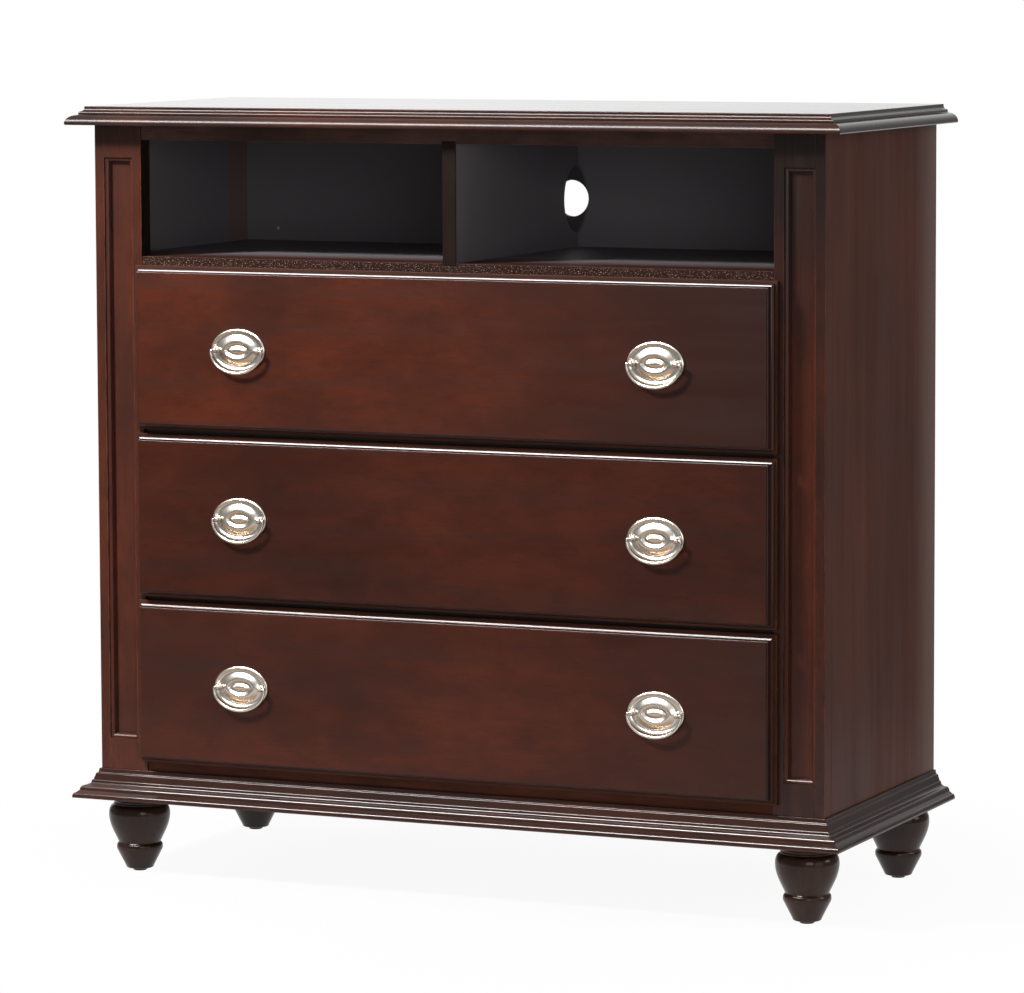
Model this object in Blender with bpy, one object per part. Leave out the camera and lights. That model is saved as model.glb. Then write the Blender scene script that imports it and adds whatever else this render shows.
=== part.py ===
# Media chest: an open media bay over three lipped drawers, on turned feet.
# Metres, +Z up, the front faces -Y, the origin is on the floor under the middle.
# Everything hangs from one empty whose own origin lies in the plane of the case's front.

import math

import bmesh
import bpy
from mathutils import Matrix, Vector

MM = 0.001

# Fits
JOINT_GAP = 0.3 * MM          # between pieces that are glued or screwed together
MITRE_GAP = 0.2 * MM          # taken off each half of a mitre
RUN_GAP = 0.4 * MM            # above and beside a drawer's runner

# Case
CASE_WIDTH = 1056 * MM
CASE_DEPTH = 427 * MM
SIDE_THICKNESS = 22 * MM
PILASTER_WIDTH = 70.5 * MM
PILASTER_THICKNESS = 25 * MM
BACK_THICKNESS = 9 * MM
BACK_INSET = 9 * MM           # the back panel sits this far inside the rear edges
SHELF_THICKNESS = 19 * MM
SHELF_SETBACK = 0.8 * MM
SUB_TOP_THICKNESS = 20 * MM
BAY_HEIGHT = 157 * MM
DIVIDER_THICKNESS = 19 * MM
DIVIDER_HOUSING = 4 * MM      # depth of the grooves that hold the divider's ends
BOTTOM_THICKNESS = 19 * MM
RAIL_THICKNESS = 19 * MM
RAIL_SETBACK = 6 * MM
BOTTOM_RAIL_SETBACK = 2 * MM
BOTTOM_REVEAL = 14 * MM       # bottom rail that shows under the lowest drawer

# Pilaster recess and the beaded panel in it
STILE_WIDTH = 14 * MM
RECESS_DEPTH = 13 * MM
RECESS_BOTTOM = 43 * MM       # above the base moulding
RECESS_TOP = 44 * MM          # below the top of the case
PANEL_QUIRK = 2 * MM
PANEL_BEAD_WIDTH = 5.5 * MM
PANEL_BEAD_DEPTH = 5 * MM
PANEL_FIELD_DEPTH = 9.5 * MM

# Cable way
CABLE_HOLE_RADIUS = 25.5 * MM
CABLE_HOLE_HEIGHT = 67 * MM   # centre above the shelf
NOTCH_RADIUS = 47 * MM

# Top board and cornice
TOP_THICKNESS = 25 * MM
TOP_LIP = 11 * MM             # part of the thickness that overhangs
TOP_OVERHANG = 15.5 * MM
TOP_COVE = 5 * MM
TOP_FILLET = 1 * MM
TOP_ROUND = 1.6 * MM
CORNICE_OVERHANG = 30.5 * MM
CORNICE_OVOLO_WIDTH = 13.5 * MM
CORNICE_OVOLO_DROP = 11.6 * MM
CORNICE_QUIRK = 0.4 * MM
CORNICE_CHAMFER = 1.3 * MM

# Members of the base moulding from the top down: form, how far out, how far down
BASE_MEMBERS = (
    ("line", 3.0 * MM, 0.0),        # top ledge
    ("line", 0.0, 1.5 * MM),
    ("round", 3.8 * MM, 5.0 * MM),  # bead
    ("line", 0.7 * MM, 0.0),
    ("hollow", 4.0 * MM, 10.0 * MM),
    ("line", 1.0 * MM, 0.0),
    ("line", 0.0, 1.0 * MM),
    ("hollow", 6.5 * MM, 6.0 * MM),  # ogee, its upper half
    ("round", 3.5 * MM, 6.0 * MM),   # ogee, its lower half
    ("line", 1.0 * MM, 1.3 * MM),
    ("line", 4.0 * MM, 2.4 * MM),    # sloping shoulder of the toe
    ("round", 3.0 * MM, 3.6 * MM),   # toe
)
BASE_FILLET = 1.7 * MM        # square edge under the toe

# Turned feet
FOOT_HEIGHT = 106 * MM
FOOT_INSET = 37.5 * MM        # axis inside the case's faces
FOOT_COLLAR_RADIUS = 37.5 * MM
FOOT_COLLAR_HEIGHT = 6.5 * MM
FOOT_NECK_RADIUS = 34 * MM
FOOT_NECK_DROP = 10.6 * MM    # from the foot's top, as are the next three
FOOT_BEAD_DROP = 12.2 * MM
FOOT_SHOULDER_DROP = 14.5 * MM
FOOT_BULB_DROP = 27 * MM
FOOT_BEAD_RADIUS = 35.3 * MM
FOOT_SHOULDER_RADIUS = 36.8 * MM
FOOT_BULB_RADIUS = 42 * MM
FOOT_WAIST_RADIUS = 28.8 * MM
FOOT_WAIST_HEIGHT = 39.8 * MM  # above the floor, as are the next two
FOOT_RING_HEIGHT = 33.5 * MM
FOOT_TOE_HEIGHT = 3.5 * MM
FOOT_RING_RADIUS = 31.7 * MM
FOOT_TOE_RADIUS = 15.8 * MM
FOOT_GLIDE_RADIUS = 9.5 * MM
FOOT_TENON_RADIUS = 8 * MM
FOOT_TENON_LENGTH = 17 * MM
TENON_CLEARANCE = 0.4 * MM
FOOT_SEGMENTS = 20

# Drawers
DRAWER_NAMES = ("bottom_drawer", "middle_drawer", "top_drawer")
FRONT_HEIGHT = 222.5 * MM
FRONT_THICKNESS = 19 * MM
FRONT_SPACING = 5.5 * MM      # open line between one front and the next
FRONT_GAP = 0.8 * MM          # behind a closed front
LIP_OVERLAP = 7 * MM
EDGE_LIP = 5 * MM             # square part of the front's moulded edge
EDGE_OVOLO_WIDTH = 4.5 * MM
EDGE_OVOLO_RISE = 5.5 * MM
EDGE_STEP_WIDTH = 1 * MM
EDGE_STEP_RISE = 1.5 * MM
EDGE_BEAD_WIDTH = 4 * MM
EDGE_BEAD_RISE = 6 * MM
BOX_CLEARANCE = 3 * MM        # beside the drawer box, in its opening
BOX_RISE = 20 * MM            # box sides above the front's lower edge
BOX_HEIGHT = 170 * MM
BOX_REAR_CLEARANCE = 28.5 * MM  # between the closed drawer and the back panel
BOX_THICKNESS = 15 * MM
BOX_BACK_DROP = 5 * MM
DRAWER_BOTTOM_THICKNESS = 6 * MM
DRAWER_BOTTOM_RISE = 8 * MM
DRAWER_GROOVE_DEPTH = 6 * MM

# Hardwood runners, one in a groove in each drawer side
TONGUE_HEIGHT = 14 * MM
TONGUE_DEPTH = 7 * MM         # how far it reaches into the side
RUNNER_HEIGHT = 32 * MM
RUNNER_RISE = 86 * MM         # tongue centre above the box's lower edge
RUNNER_BODY_GAP = 1.5 * MM    # between the runner's face and the drawer side

# Oval bail pulls
PULL_INSET = 162.5 * MM       # each pull's middle from the nearer end of the front
PULL_RISE = 1.5 * MM          # above the middle of the front's height
POST_SPACING = 63 * MM
POST_RADIUS = 2.4 * MM
BALL_RADIUS = 3.8 * MM
HINGE_HEIGHT = 8 * MM         # bail axis in front of the plate's back
SHANK_RADIUS = 2 * MM
SHANK_CLEARANCE = 0.4 * MM
SCREW_HEAD_RADIUS = 4.5 * MM
SCREW_HEAD_HEIGHT = 2.2 * MM
BAIL_RADIUS = 1.6 * MM        # of the wire at its sides
BAIL_GRIP_RADIUS = 2.3 * MM   # of the wire at its lowest point
BAIL_PIN_RADIUS = 1.2 * MM
BAIL_PIN_CLEARANCE = 0.3 * MM
BAIL_PIN_REACH = 2.4 * MM     # length of pin inside the ball
BAIL_SIDE_GAP = 0.7 * MM      # between the wire and the ball
BAIL_DROP = 30.6 * MM         # axis to the middle of the lowest wire
POST_SEGMENTS = 10
PLATE_SEGMENTS = 20
# Ovals of the stamped plate: half width, half height, height above its back.
PLATE_OVALS = (
    (40.0, 28.8, 0.0),
    (40.0, 28.8, 0.9),
    (38.0, 26.8, 2.6),
    (35.2, 24.4, 1.9),
    (32.0, 22.8, 0.9),
    (28.0, 20.6, 1.3),
    (23.8, 15.6, 4.2),
    (20.4, 12.0, 5.3),
    (16.6, 8.6, 3.8),
    (13.8, 6.0, 2.8),
    (10.4, 2.6, 4.7),
)

ARC_STEPS = 4

# Heights and places that follow from the sizes above
case_half = CASE_WIDTH / 2
opening_half = case_half - PILASTER_WIDTH
inner_half = case_half - SIDE_THICKNESS
case_bottom = FOOT_HEIGHT + JOINT_GAP
base_overhang = sum(out for form, out, down in BASE_MEMBERS)
base_top = case_bottom + BASE_FILLET + sum(down for form, out, down in BASE_MEMBERS)
first_front = base_top + BOTTOM_REVEAL
front_pitch = FRONT_HEIGHT + FRONT_SPACING
front_half = opening_half + LIP_OVERLAP
shelf_bottom = first_front + len(DRAWER_NAMES) * front_pitch - FRONT_SPACING - LIP_OVERLAP
shelf_top = shelf_bottom + SHELF_THICKNESS
bay_top = shelf_top + BAY_HEIGHT
case_top = bay_top + SUB_TOP_THICKNESS
board_bottom = case_top + JOINT_GAP
board_top = board_bottom + TOP_THICKNESS
rail_height = FRONT_SPACING + 2 * LIP_OVERLAP
back_front = CASE_DEPTH - BACK_INSET - BACK_THICKNESS
inner_front = PILASTER_THICKNESS + JOINT_GAP
inner_back = back_front - JOINT_GAP
cable_height = shelf_top + CABLE_HOLE_HEIGHT
box_half = opening_half - BOX_CLEARANCE
box_front = JOINT_GAP - FRONT_GAP
box_back = back_front - BOX_REAR_CLEARANCE
face_plane = -(FRONT_GAP + FRONT_THICKNESS)
pull_offset = front_half - PULL_INSET
pull_height = FRONT_HEIGHT / 2 + PULL_RISE
post_half = POST_SPACING / 2
bail_half = post_half + BALL_RADIUS + BAIL_SIDE_GAP + BAIL_RADIUS
pull_reach = JOINT_GAP + HINGE_HEIGHT + BALL_RADIUS - face_plane
front_reach = max(CORNICE_OVERHANG, base_overhang, pull_reach)
rear_reach = max(CASE_DEPTH, CASE_DEPTH - FOOT_INSET + FOOT_BULB_RADIUS)
case_front = (front_reach - rear_reach) / 2


def clear_scene():
    for item in list(bpy.data.objects):
        bpy.data.objects.remove(item, do_unlink=True)


def finish(name, colour, roughness, metallic=0.0):
    """A plain Principled material in the colour of the photographed piece."""
    material = bpy.data.materials.new(name)
    material.use_nodes = True
    shader = material.node_tree.nodes["Principled BSDF"]
    shader.inputs["Base Color"].default_value = (*colour, 1.0)
    shader.inputs["Roughness"].default_value = roughness
    shader.inputs["Metallic"].default_value = metallic
    material.diffuse_color = (*colour, 1.0)
    return material


def add_object(name, data, colour, parent, location=(0, 0, 0)):
    item = bpy.data.objects.new(name, data)
    bpy.context.scene.collection.objects.link(item)
    item.parent = parent
    item.location = location
    if not data.materials:
        data.materials.append(colour)
    return item


def add_empty(name, parent=None, location=(0, 0, 0)):
    empty = bpy.data.objects.new(name, None)
    bpy.context.scene.collection.objects.link(empty)
    empty.parent = parent
    empty.location = location
    return empty


def mesh_from(name, bm, smooth_angle=None):
    bmesh.ops.recalc_face_normals(bm, faces=bm.faces)
    mesh = bpy.data.meshes.new(name)
    bm.to_mesh(mesh)
    bm.free()
    if smooth_angle:
        mesh.shade_smooth()
        mesh.set_sharp_from_angle(angle=math.radians(smooth_angle))
    return mesh


def loft(name, loops, smooth_angle=None):
    """Skin a stack of closed loops with as many points each, and cap both ends."""
    bm = bmesh.new()
    rings = [[bm.verts.new(point) for point in loop] for loop in loops]
    for lower, upper in zip(rings, rings[1:]):
        for index in range(len(lower)):
            following = (index + 1) % len(lower)
            bm.faces.new((lower[index], lower[following], upper[following], upper[index]))
    bm.faces.new(rings[0])
    bm.faces.new(rings[-1])
    return mesh_from(name, bm, smooth_angle)


def sheet(name, outline, holes, low, high, axis="Z"):
    """An outline with holes in it, given depth along Z, or along X or Y when so named."""
    bm = bmesh.new()
    edges = []
    for loop in [outline, *holes]:
        verts = [bm.verts.new((across, up, 0)) for across, up in loop]
        edges += [bm.edges.new((verts[i - 1], verts[i])) for i in range(len(verts))]
    fill = bmesh.ops.triangle_fill(bm, edges=edges, use_beauty=True)
    faces = [item for item in fill["geom"] if isinstance(item, bmesh.types.BMFace)]
    grown = bmesh.ops.extrude_face_region(bm, geom=faces)
    moved = [item for item in grown["geom"] if isinstance(item, bmesh.types.BMVert)]
    bmesh.ops.translate(bm, verts=bm.verts, vec=(0, 0, low))
    bmesh.ops.translate(bm, verts=moved, vec=(0, 0, high - low))
    turns = {
        "Z": Matrix.Identity(3),
        "X": Matrix(((0, 0, 1), (1, 0, 0), (0, 1, 0))),
        "Y": Matrix(((1, 0, 0), (0, 0, 1), (0, 1, 0))),
    }
    bmesh.ops.transform(bm, matrix=turns[axis].to_4x4(), verts=bm.verts)
    return mesh_from(name, bm)


def board(name, colour, parent, x, y, z):
    """A square-edged board between two limits each way, with its origin at its middle."""
    middle = Vector(((x[0] + x[1]) / 2, (y[0] + y[1]) / 2, (z[0] + z[1]) / 2))
    size = Vector((x[1] - x[0], y[1] - y[0], z[1] - z[0]))
    bm = bmesh.new()
    bmesh.ops.create_cube(bm, size=1.0)
    bmesh.ops.scale(bm, vec=size, verts=bm.verts)
    return add_object(name, mesh_from(name, bm), colour, parent, middle)


def arc(start, end, first_side, steps=ARC_STEPS):
    """Quarter of an oval from start to end. It leaves start along axis first_side (0 or 1)."""
    points = []
    for step in range(1, steps + 1):
        angle = math.pi / 2 * step / steps
        quick = math.sin(angle)
        slow = 1 - math.cos(angle)
        share = (quick, slow) if first_side == 0 else (slow, quick)
        points.append(tuple(start[i] + (end[i] - start[i]) * share[i] for i in (0, 1)))
    return points


def circle(centre, radius, segments):
    angles = [2 * math.pi * step / segments for step in range(segments)]
    return [(centre[0] + radius * math.cos(a), centre[1] + radius * math.sin(a)) for a in angles]


def cylinder_cutter(name, parent, places, radius, length, direction):
    """One hidden cutter of round bars along X, Y or Z, centred on the given places."""
    bm = bmesh.new()
    turn = Vector((0, 0, 1)).rotation_difference(Vector(direction)).to_matrix().to_4x4()
    for place in places:
        bmesh.ops.create_cone(
            bm, cap_ends=True, segments=10, radius1=radius, radius2=radius, depth=length,
            matrix=Matrix.Translation(place) @ turn)
    mesh = mesh_from(name, bm)
    cutter = bpy.data.objects.new(name, mesh)
    bpy.context.scene.collection.objects.link(cutter)
    cutter.parent = parent
    cutter.hide_render = True
    cutter.display_type = "WIRE"
    return cutter


def boolean(item, other, operation):
    modifier = item.modifiers.new(other.name, "BOOLEAN")
    modifier.operation = operation
    modifier.object = other
    modifier.solver = "EXACT"


def board_profile():
    """Overhang and height of the top board's edge, from its underside to its face."""
    lip_bottom = board_top - TOP_LIP
    fillet = TOP_OVERHANG - TOP_COVE
    shoulder = lip_bottom + 0.8 * MM + TOP_COVE
    edge = fillet - TOP_FILLET
    points = [(0, board_bottom), (0, lip_bottom), (TOP_OVERHANG, lip_bottom)]
    points.append((TOP_OVERHANG, lip_bottom + 0.8 * MM))
    points += arc((TOP_OVERHANG, lip_bottom + 0.8 * MM), (fillet, shoulder), 0)
    points.append((edge, shoulder))
    points.append((edge, board_top - TOP_ROUND))
    points += arc((edge, board_top - TOP_ROUND), (edge - TOP_ROUND, board_top), 1, 3)
    return points


def cornice_profile():
    """Closed section of the cornice: a thumbnail ovolo under the board's lip."""
    top = board_top - TOP_LIP - JOINT_GAP
    spring = CORNICE_OVERHANG - CORNICE_OVOLO_WIDTH
    points = [(JOINT_GAP, board_bottom), (JOINT_GAP, top), (spring, top)]
    points.append((spring, top - CORNICE_QUIRK))
    crown = (CORNICE_OVERHANG, top - CORNICE_QUIRK - CORNICE_OVOLO_DROP)
    points += arc((spring, top - CORNICE_QUIRK), crown, 0, 6)
    points.append((CORNICE_OVERHANG, board_bottom + CORNICE_CHAMFER))
    points.append((CORNICE_OVERHANG - CORNICE_CHAMFER, board_bottom))
    return points


def base_profile():
    """Closed section of the base moulding, one member after another, stepping out."""
    points = [(JOINT_GAP, case_bottom), (JOINT_GAP, base_top)]
    here = (0, base_top)
    for form, out, down in BASE_MEMBERS:
        there = (here[0] + out, here[1] - down)
        if form == "line":
            points.append(there)
        else:
            points += arc(here, there, 0 if form == "round" else 1, 3)
        here = there
    points.append((base_overhang, case_bottom))
    return points


def moulding_front(name, profile, colour, parent):
    """A run along the front, cut to a mitre at each end."""
    ends = []
    for side in (-1, 1):
        ends.append([(side * (case_half + out - MITRE_GAP), -out, up) for out, up in profile])
    return add_object(name, loft(name, ends, 25), colour, parent)


def moulding_side(name, profile, side, colour, parent):
    """A run along one side, mitred in front and sawn square at the back."""
    front = [(side * (case_half + out), MITRE_GAP - out, up) for out, up in profile]
    back = [(side * (case_half + out), CASE_DEPTH, up) for out, up in profile]
    return add_object(name, loft(name, [front, back], 25), colour, parent)


def top_board(colour, parent):
    """The top, with its edge moulded on the front and the two ends."""
    loops = []
    for out, up in board_profile():
        reach = case_half + out
        loops.append([(-reach, -out, up), (reach, -out, up), (reach, CASE_DEPTH, up),
                      (-reach, CASE_DEPTH, up)])
    add_object("top_panel", loft("top_panel", loops, 25), colour, parent)


def stepped_board(name, colour, parent, setback, low, high):
    """A board that fills the case behind the pilasters and comes forward between them."""
    narrow = opening_half - JOINT_GAP
    wide = inner_half - JOINT_GAP
    outline = [(-narrow, setback), (narrow, setback), (narrow, inner_front), (wide, inner_front),
               (wide, inner_back), (-wide, inner_back), (-wide, inner_front),
               (-narrow, inner_front)]
    return add_object(name, sheet(name, outline, [], low, high), colour, parent)


def pilaster(name, side, colour, parent):
    """A corner post with a long sunk recess in its face."""
    inner = opening_half
    outer = case_half
    bottom = base_top + RECESS_BOTTOM
    top = case_top - RECESS_TOP
    full = (inner, outer, case_bottom, case_top)
    sunk = (inner + STILE_WIDTH, outer - STILE_WIDTH, bottom, top)
    steps = [(full, PILASTER_THICKNESS), (full, 0), (sunk, 0), (sunk, RECESS_DEPTH)]
    loops = []
    for (x0, x1, z0, z1), depth in steps:
        loops.append([(side * x0, depth, z0), (side * x1, depth, z0), (side * x1, depth, z1),
                      (side * x0, depth, z1)])
    add_object(name, loft(name, loops), colour, parent)


def pilaster_panel(name, side, colour, parent):
    """The panel in the recess: a quirk, a bead all round, and a flat field."""
    inner = opening_half + STILE_WIDTH + JOINT_GAP
    outer = case_half - STILE_WIDTH - JOINT_GAP
    bottom = base_top + RECESS_BOTTOM + JOINT_GAP
    top = case_top - RECESS_TOP - JOINT_GAP
    crest = (0, PANEL_QUIRK)
    foot = (PANEL_BEAD_WIDTH, PANEL_QUIRK + PANEL_BEAD_DEPTH)
    section = [(0, RECESS_DEPTH - JOINT_GAP), crest]
    section += arc(crest, foot, 0)
    fillet = PANEL_BEAD_WIDTH + 0.8 * MM
    section.append((fillet, foot[1]))
    section.append((fillet, PANEL_FIELD_DEPTH))
    loops = []
    for inset, depth in section:
        x0, x1 = side * (inner + inset), side * (outer - inset)
        z0, z1 = bottom + inset, top - inset
        loops.append([(x0, depth, z0), (x1, depth, z0), (x1, depth, z1), (x0, depth, z1)])
    add_object(name, loft(name, loops, 25), colour, parent)


def back_panel(colour, parent):
    wide = inner_half - JOINT_GAP
    outline = [(-wide, case_bottom), (wide, case_bottom), (wide, case_top), (-wide, case_top)]
    hole = circle((0, cable_height), CABLE_HOLE_RADIUS, 32)
    mesh = sheet("back_panel", outline, [hole], back_front, back_front + BACK_THICKNESS, "Y")
    add_object("back_panel", mesh, colour, parent)


def divider_housing(item, height, parent):
    """A groove across a board, cut where the divider's end is let into it."""
    half = DIVIDER_THICKNESS / 2 + JOINT_GAP
    bm = bmesh.new()
    bmesh.ops.create_cube(bm, size=1.0)
    size = (2 * half, 3 * CASE_DEPTH, 2 * DIVIDER_HOUSING)
    bmesh.ops.scale(bm, vec=size, verts=bm.verts)
    cutter = bpy.data.objects.new(item.name + "_housing", mesh_from(item.name + "_housing", bm))
    bpy.context.scene.collection.objects.link(cutter)
    cutter.parent = parent
    cutter.location = (0, 0, height)
    cutter.hide_render = True
    cutter.display_type = "WIRE"
    boolean(item, cutter, "DIFFERENCE")


def bay_divider(colour, parent):
    """The upright in the bay, scooped at the back so that cables reach the hole."""
    low = shelf_top - DIVIDER_HOUSING + JOINT_GAP
    high = bay_top + DIVIDER_HOUSING - JOINT_GAP
    outline = [(SHELF_SETBACK, low), (inner_back, low)]
    for step in range(17):
        angle = -math.pi / 2 + math.pi * step / 16
        outline.append((inner_back - NOTCH_RADIUS * math.cos(angle),
                        cable_height + NOTCH_RADIUS * math.sin(angle)))
    outline += [(inner_back, high), (SHELF_SETBACK, high)]
    half = DIVIDER_THICKNESS / 2
    mesh = sheet("bay_divider", outline, [], -half, half, "X")
    add_object("bay_divider", mesh, colour, parent)


def bottom_panel(colour, parent):
    """The case's floor, bored for the tenons of the four feet."""
    wide = inner_half - JOINT_GAP
    outline = [(-wide, inner_front), (wide, inner_front), (wide, inner_back), (-wide, inner_back)]
    radius = FOOT_TENON_RADIUS + TENON_CLEARANCE
    holes = [circle(place, radius, 16) for place in foot_places().values()]
    mesh = sheet("bottom_panel", outline, holes, case_bottom, case_bottom + BOTTOM_THICKNESS)
    add_object("bottom_panel", mesh, colour, parent)


def foot_places():
    across = case_half - FOOT_INSET
    rear = CASE_DEPTH - FOOT_INSET
    return {
        "foot_front_left": (-across, FOOT_INSET),
        "foot_front_right": (across, FOOT_INSET),
        "foot_rear_left": (-across, rear),
        "foot_rear_right": (across, rear),
    }


def foot_profile():
    """Radius and height of the turned foot, from the tenon's end down to the glide."""
    top = FOOT_HEIGHT
    collar = (FOOT_COLLAR_RADIUS, top - FOOT_COLLAR_HEIGHT)
    neck = (FOOT_NECK_RADIUS, top - FOOT_NECK_DROP)
    shoulder = (FOOT_SHOULDER_RADIUS, top - FOOT_SHOULDER_DROP)
    bulb = (FOOT_BULB_RADIUS, top - FOOT_BULB_DROP)
    points = [(0, top + FOOT_TENON_LENGTH), (FOOT_TENON_RADIUS, top + FOOT_TENON_LENGTH)]
    points += [(FOOT_TENON_RADIUS, top), (FOOT_COLLAR_RADIUS, top), collar]
    points += arc(collar, neck, 0, 2)
    points.append((FOOT_BEAD_RADIUS, top - FOOT_BEAD_DROP))
    points.append((FOOT_NECK_RADIUS + 0.4 * MM, shoulder[1] + 0.4 * MM))
    points.append(shoulder)
    points += arc(shoulder, bulb, 0)
    body_steps = 6
    for step in range(1, body_steps + 1):
        share = step / body_steps
        swell = math.sin(math.pi / 2 * (1 - share)) ** 1.12
        points.append((FOOT_WAIST_RADIUS + (FOOT_BULB_RADIUS - FOOT_WAIST_RADIUS) * swell,
                       bulb[1] + (FOOT_WAIST_HEIGHT - bulb[1]) * share))
    points.append((FOOT_WAIST_RADIUS + 0.5 * MM, FOOT_RING_HEIGHT + 5 * MM))
    points.append((FOOT_RING_RADIUS - 0.6 * MM, FOOT_RING_HEIGHT + 2 * MM))
    points.append((FOOT_RING_RADIUS, FOOT_RING_HEIGHT))
    points.append((FOOT_RING_RADIUS - 0.7 * MM, FOOT_RING_HEIGHT - 4 * MM))
    points.append((FOOT_TOE_RADIUS + 3 * MM, FOOT_TOE_HEIGHT + 2.5 * MM))
    points.append((FOOT_TOE_RADIUS, FOOT_TOE_HEIGHT))
    points += [(FOOT_GLIDE_RADIUS, FOOT_TOE_HEIGHT), (FOOT_GLIDE_RADIUS, 0), (0, 0)]
    return points


def turned_foot(name, place, mesh, colour, parent):
    foot = add_object(name, mesh, colour, parent, (*place, 0))
    lathe = foot.modifiers.new("Lathe", "SCREW")
    lathe.axis = "Z"
    lathe.angle = 2 * math.pi
    lathe.steps = FOOT_SEGMENTS
    lathe.render_steps = FOOT_SEGMENTS
    lathe.use_merge_vertices = True
    lathe.merge_threshold = 0.00001
    lathe.use_smooth_shade = True
    return foot


def profile_mesh(name, points):
    mesh = bpy.data.meshes.new(name)
    verts = [(radius, 0, up) for radius, up in points]
    edges = [(index, index + 1) for index in range(len(points) - 1)]
    mesh.from_pydata(verts, edges, [])
    return mesh


def runner(name, side, height, colour, parent):
    """A bearer screwed to the case side; its tongue carries the drawer side."""
    outer = inner_half - JOINT_GAP
    shoulder = box_half + RUNNER_BODY_GAP
    tip = box_half - TONGUE_DEPTH
    half = RUNNER_HEIGHT / 2
    tongue = TONGUE_HEIGHT / 2
    outline = [(outer, -half), (outer, half), (shoulder, half), (shoulder, tongue), (tip, tongue),
               (tip, -tongue), (shoulder, -tongue), (shoulder, -half)]
    outline = [(side * across, up) for across, up in outline]
    mesh = sheet(name, outline, [], inner_front, inner_back, "Y")
    add_object(name, mesh, colour, parent, (0, 0, height))


def drawer_front_mesh():
    """A lipped front: a square edge, an ovolo, a step and a bead up to the flat face."""
    back = -FRONT_GAP
    section = [(0, 0), (0, EDGE_LIP)]
    ovolo = (EDGE_OVOLO_WIDTH, EDGE_LIP + EDGE_OVOLO_RISE)
    section += arc((0, EDGE_LIP), ovolo, 1)
    step = (EDGE_OVOLO_WIDTH + EDGE_STEP_WIDTH, ovolo[1])
    section.append(step)
    bead = (step[0], step[1] + EDGE_STEP_RISE)
    section.append(bead)
    crest = (bead[0] + EDGE_BEAD_WIDTH, bead[1] + EDGE_BEAD_RISE)
    section += arc(bead, crest, 1)
    section.append((crest[0] + EDGE_STEP_WIDTH, crest[1]))
    section.append((crest[0] + EDGE_STEP_WIDTH, FRONT_THICKNESS))
    loops = []
    for inset, rise in section:
        x = front_half - inset
        z0, z1 = inset, FRONT_HEIGHT - inset
        y = back - rise
        loops.append([(-x, y, z0), (x, y, z0), (x, y, z1), (-x, y, z1)])
    return loft("drawer_front", loops, 25)


def drawer_side_mesh(side):
    """A box side with a groove outside for the runner and one inside for the bottom."""
    outer = box_half
    inner = box_half - BOX_THICKNESS
    groove = outer - TONGUE_DEPTH - RUN_GAP
    tongue_low = RUNNER_RISE - TONGUE_HEIGHT / 2 - 2 * RUN_GAP
    tongue_high = RUNNER_RISE + TONGUE_HEIGHT / 2 + RUN_GAP
    slot = inner + DRAWER_GROOVE_DEPTH
    slot_low = DRAWER_BOTTOM_RISE - JOINT_GAP
    slot_high = DRAWER_BOTTOM_RISE + DRAWER_BOTTOM_THICKNESS + JOINT_GAP
    outline = [(inner, 0), (outer, 0), (outer, tongue_low), (groove, tongue_low),
               (groove, tongue_high), (outer, tongue_high), (outer, BOX_HEIGHT),
               (inner, BOX_HEIGHT), (inner, slot_high), (slot, slot_high), (slot, slot_low),
               (inner, slot_low)]
    outline = [(side * across, up) for across, up in outline]
    return sheet("drawer_side", outline, [], box_front, box_back, "Y")


def plate_mesh():
    """The stamped oval plate, lying in the XZ plane with its back at Y = 0."""
    loops = []
    for wide, high, rise in PLATE_OVALS:
        loop = []
        for step in range(PLATE_SEGMENTS):
            angle = 2 * math.pi * step / PLATE_SEGMENTS
            loop.append((wide * MM * math.cos(angle), -rise * MM, high * MM * math.sin(angle)))
        loops.append(loop)
    return loft("pull_plate", loops, 40)


def post_profile():
    """Radius and place of one post: screw head, shank, neck and ball, along +Z."""
    inside = -FRONT_THICKNESS - 2 * JOINT_GAP
    points = [(0, HINGE_HEIGHT + BALL_RADIUS)]
    for step in range(1, 5):
        angle = math.radians(30 * step)
        points.append((BALL_RADIUS * math.sin(angle), HINGE_HEIGHT + BALL_RADIUS * math.cos(angle)))
    points.append((POST_RADIUS, HINGE_HEIGHT - BALL_RADIUS * 0.75))
    points += [(POST_RADIUS, 0.4 * MM), (SHANK_RADIUS, 0.4 * MM), (SHANK_RADIUS, inside)]
    points += [(SCREW_HEAD_RADIUS, inside), (SCREW_HEAD_RADIUS * 0.9, inside - SCREW_HEAD_HEIGHT)]
    points.append((0, inside - SCREW_HEAD_HEIGHT))
    return points


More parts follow.
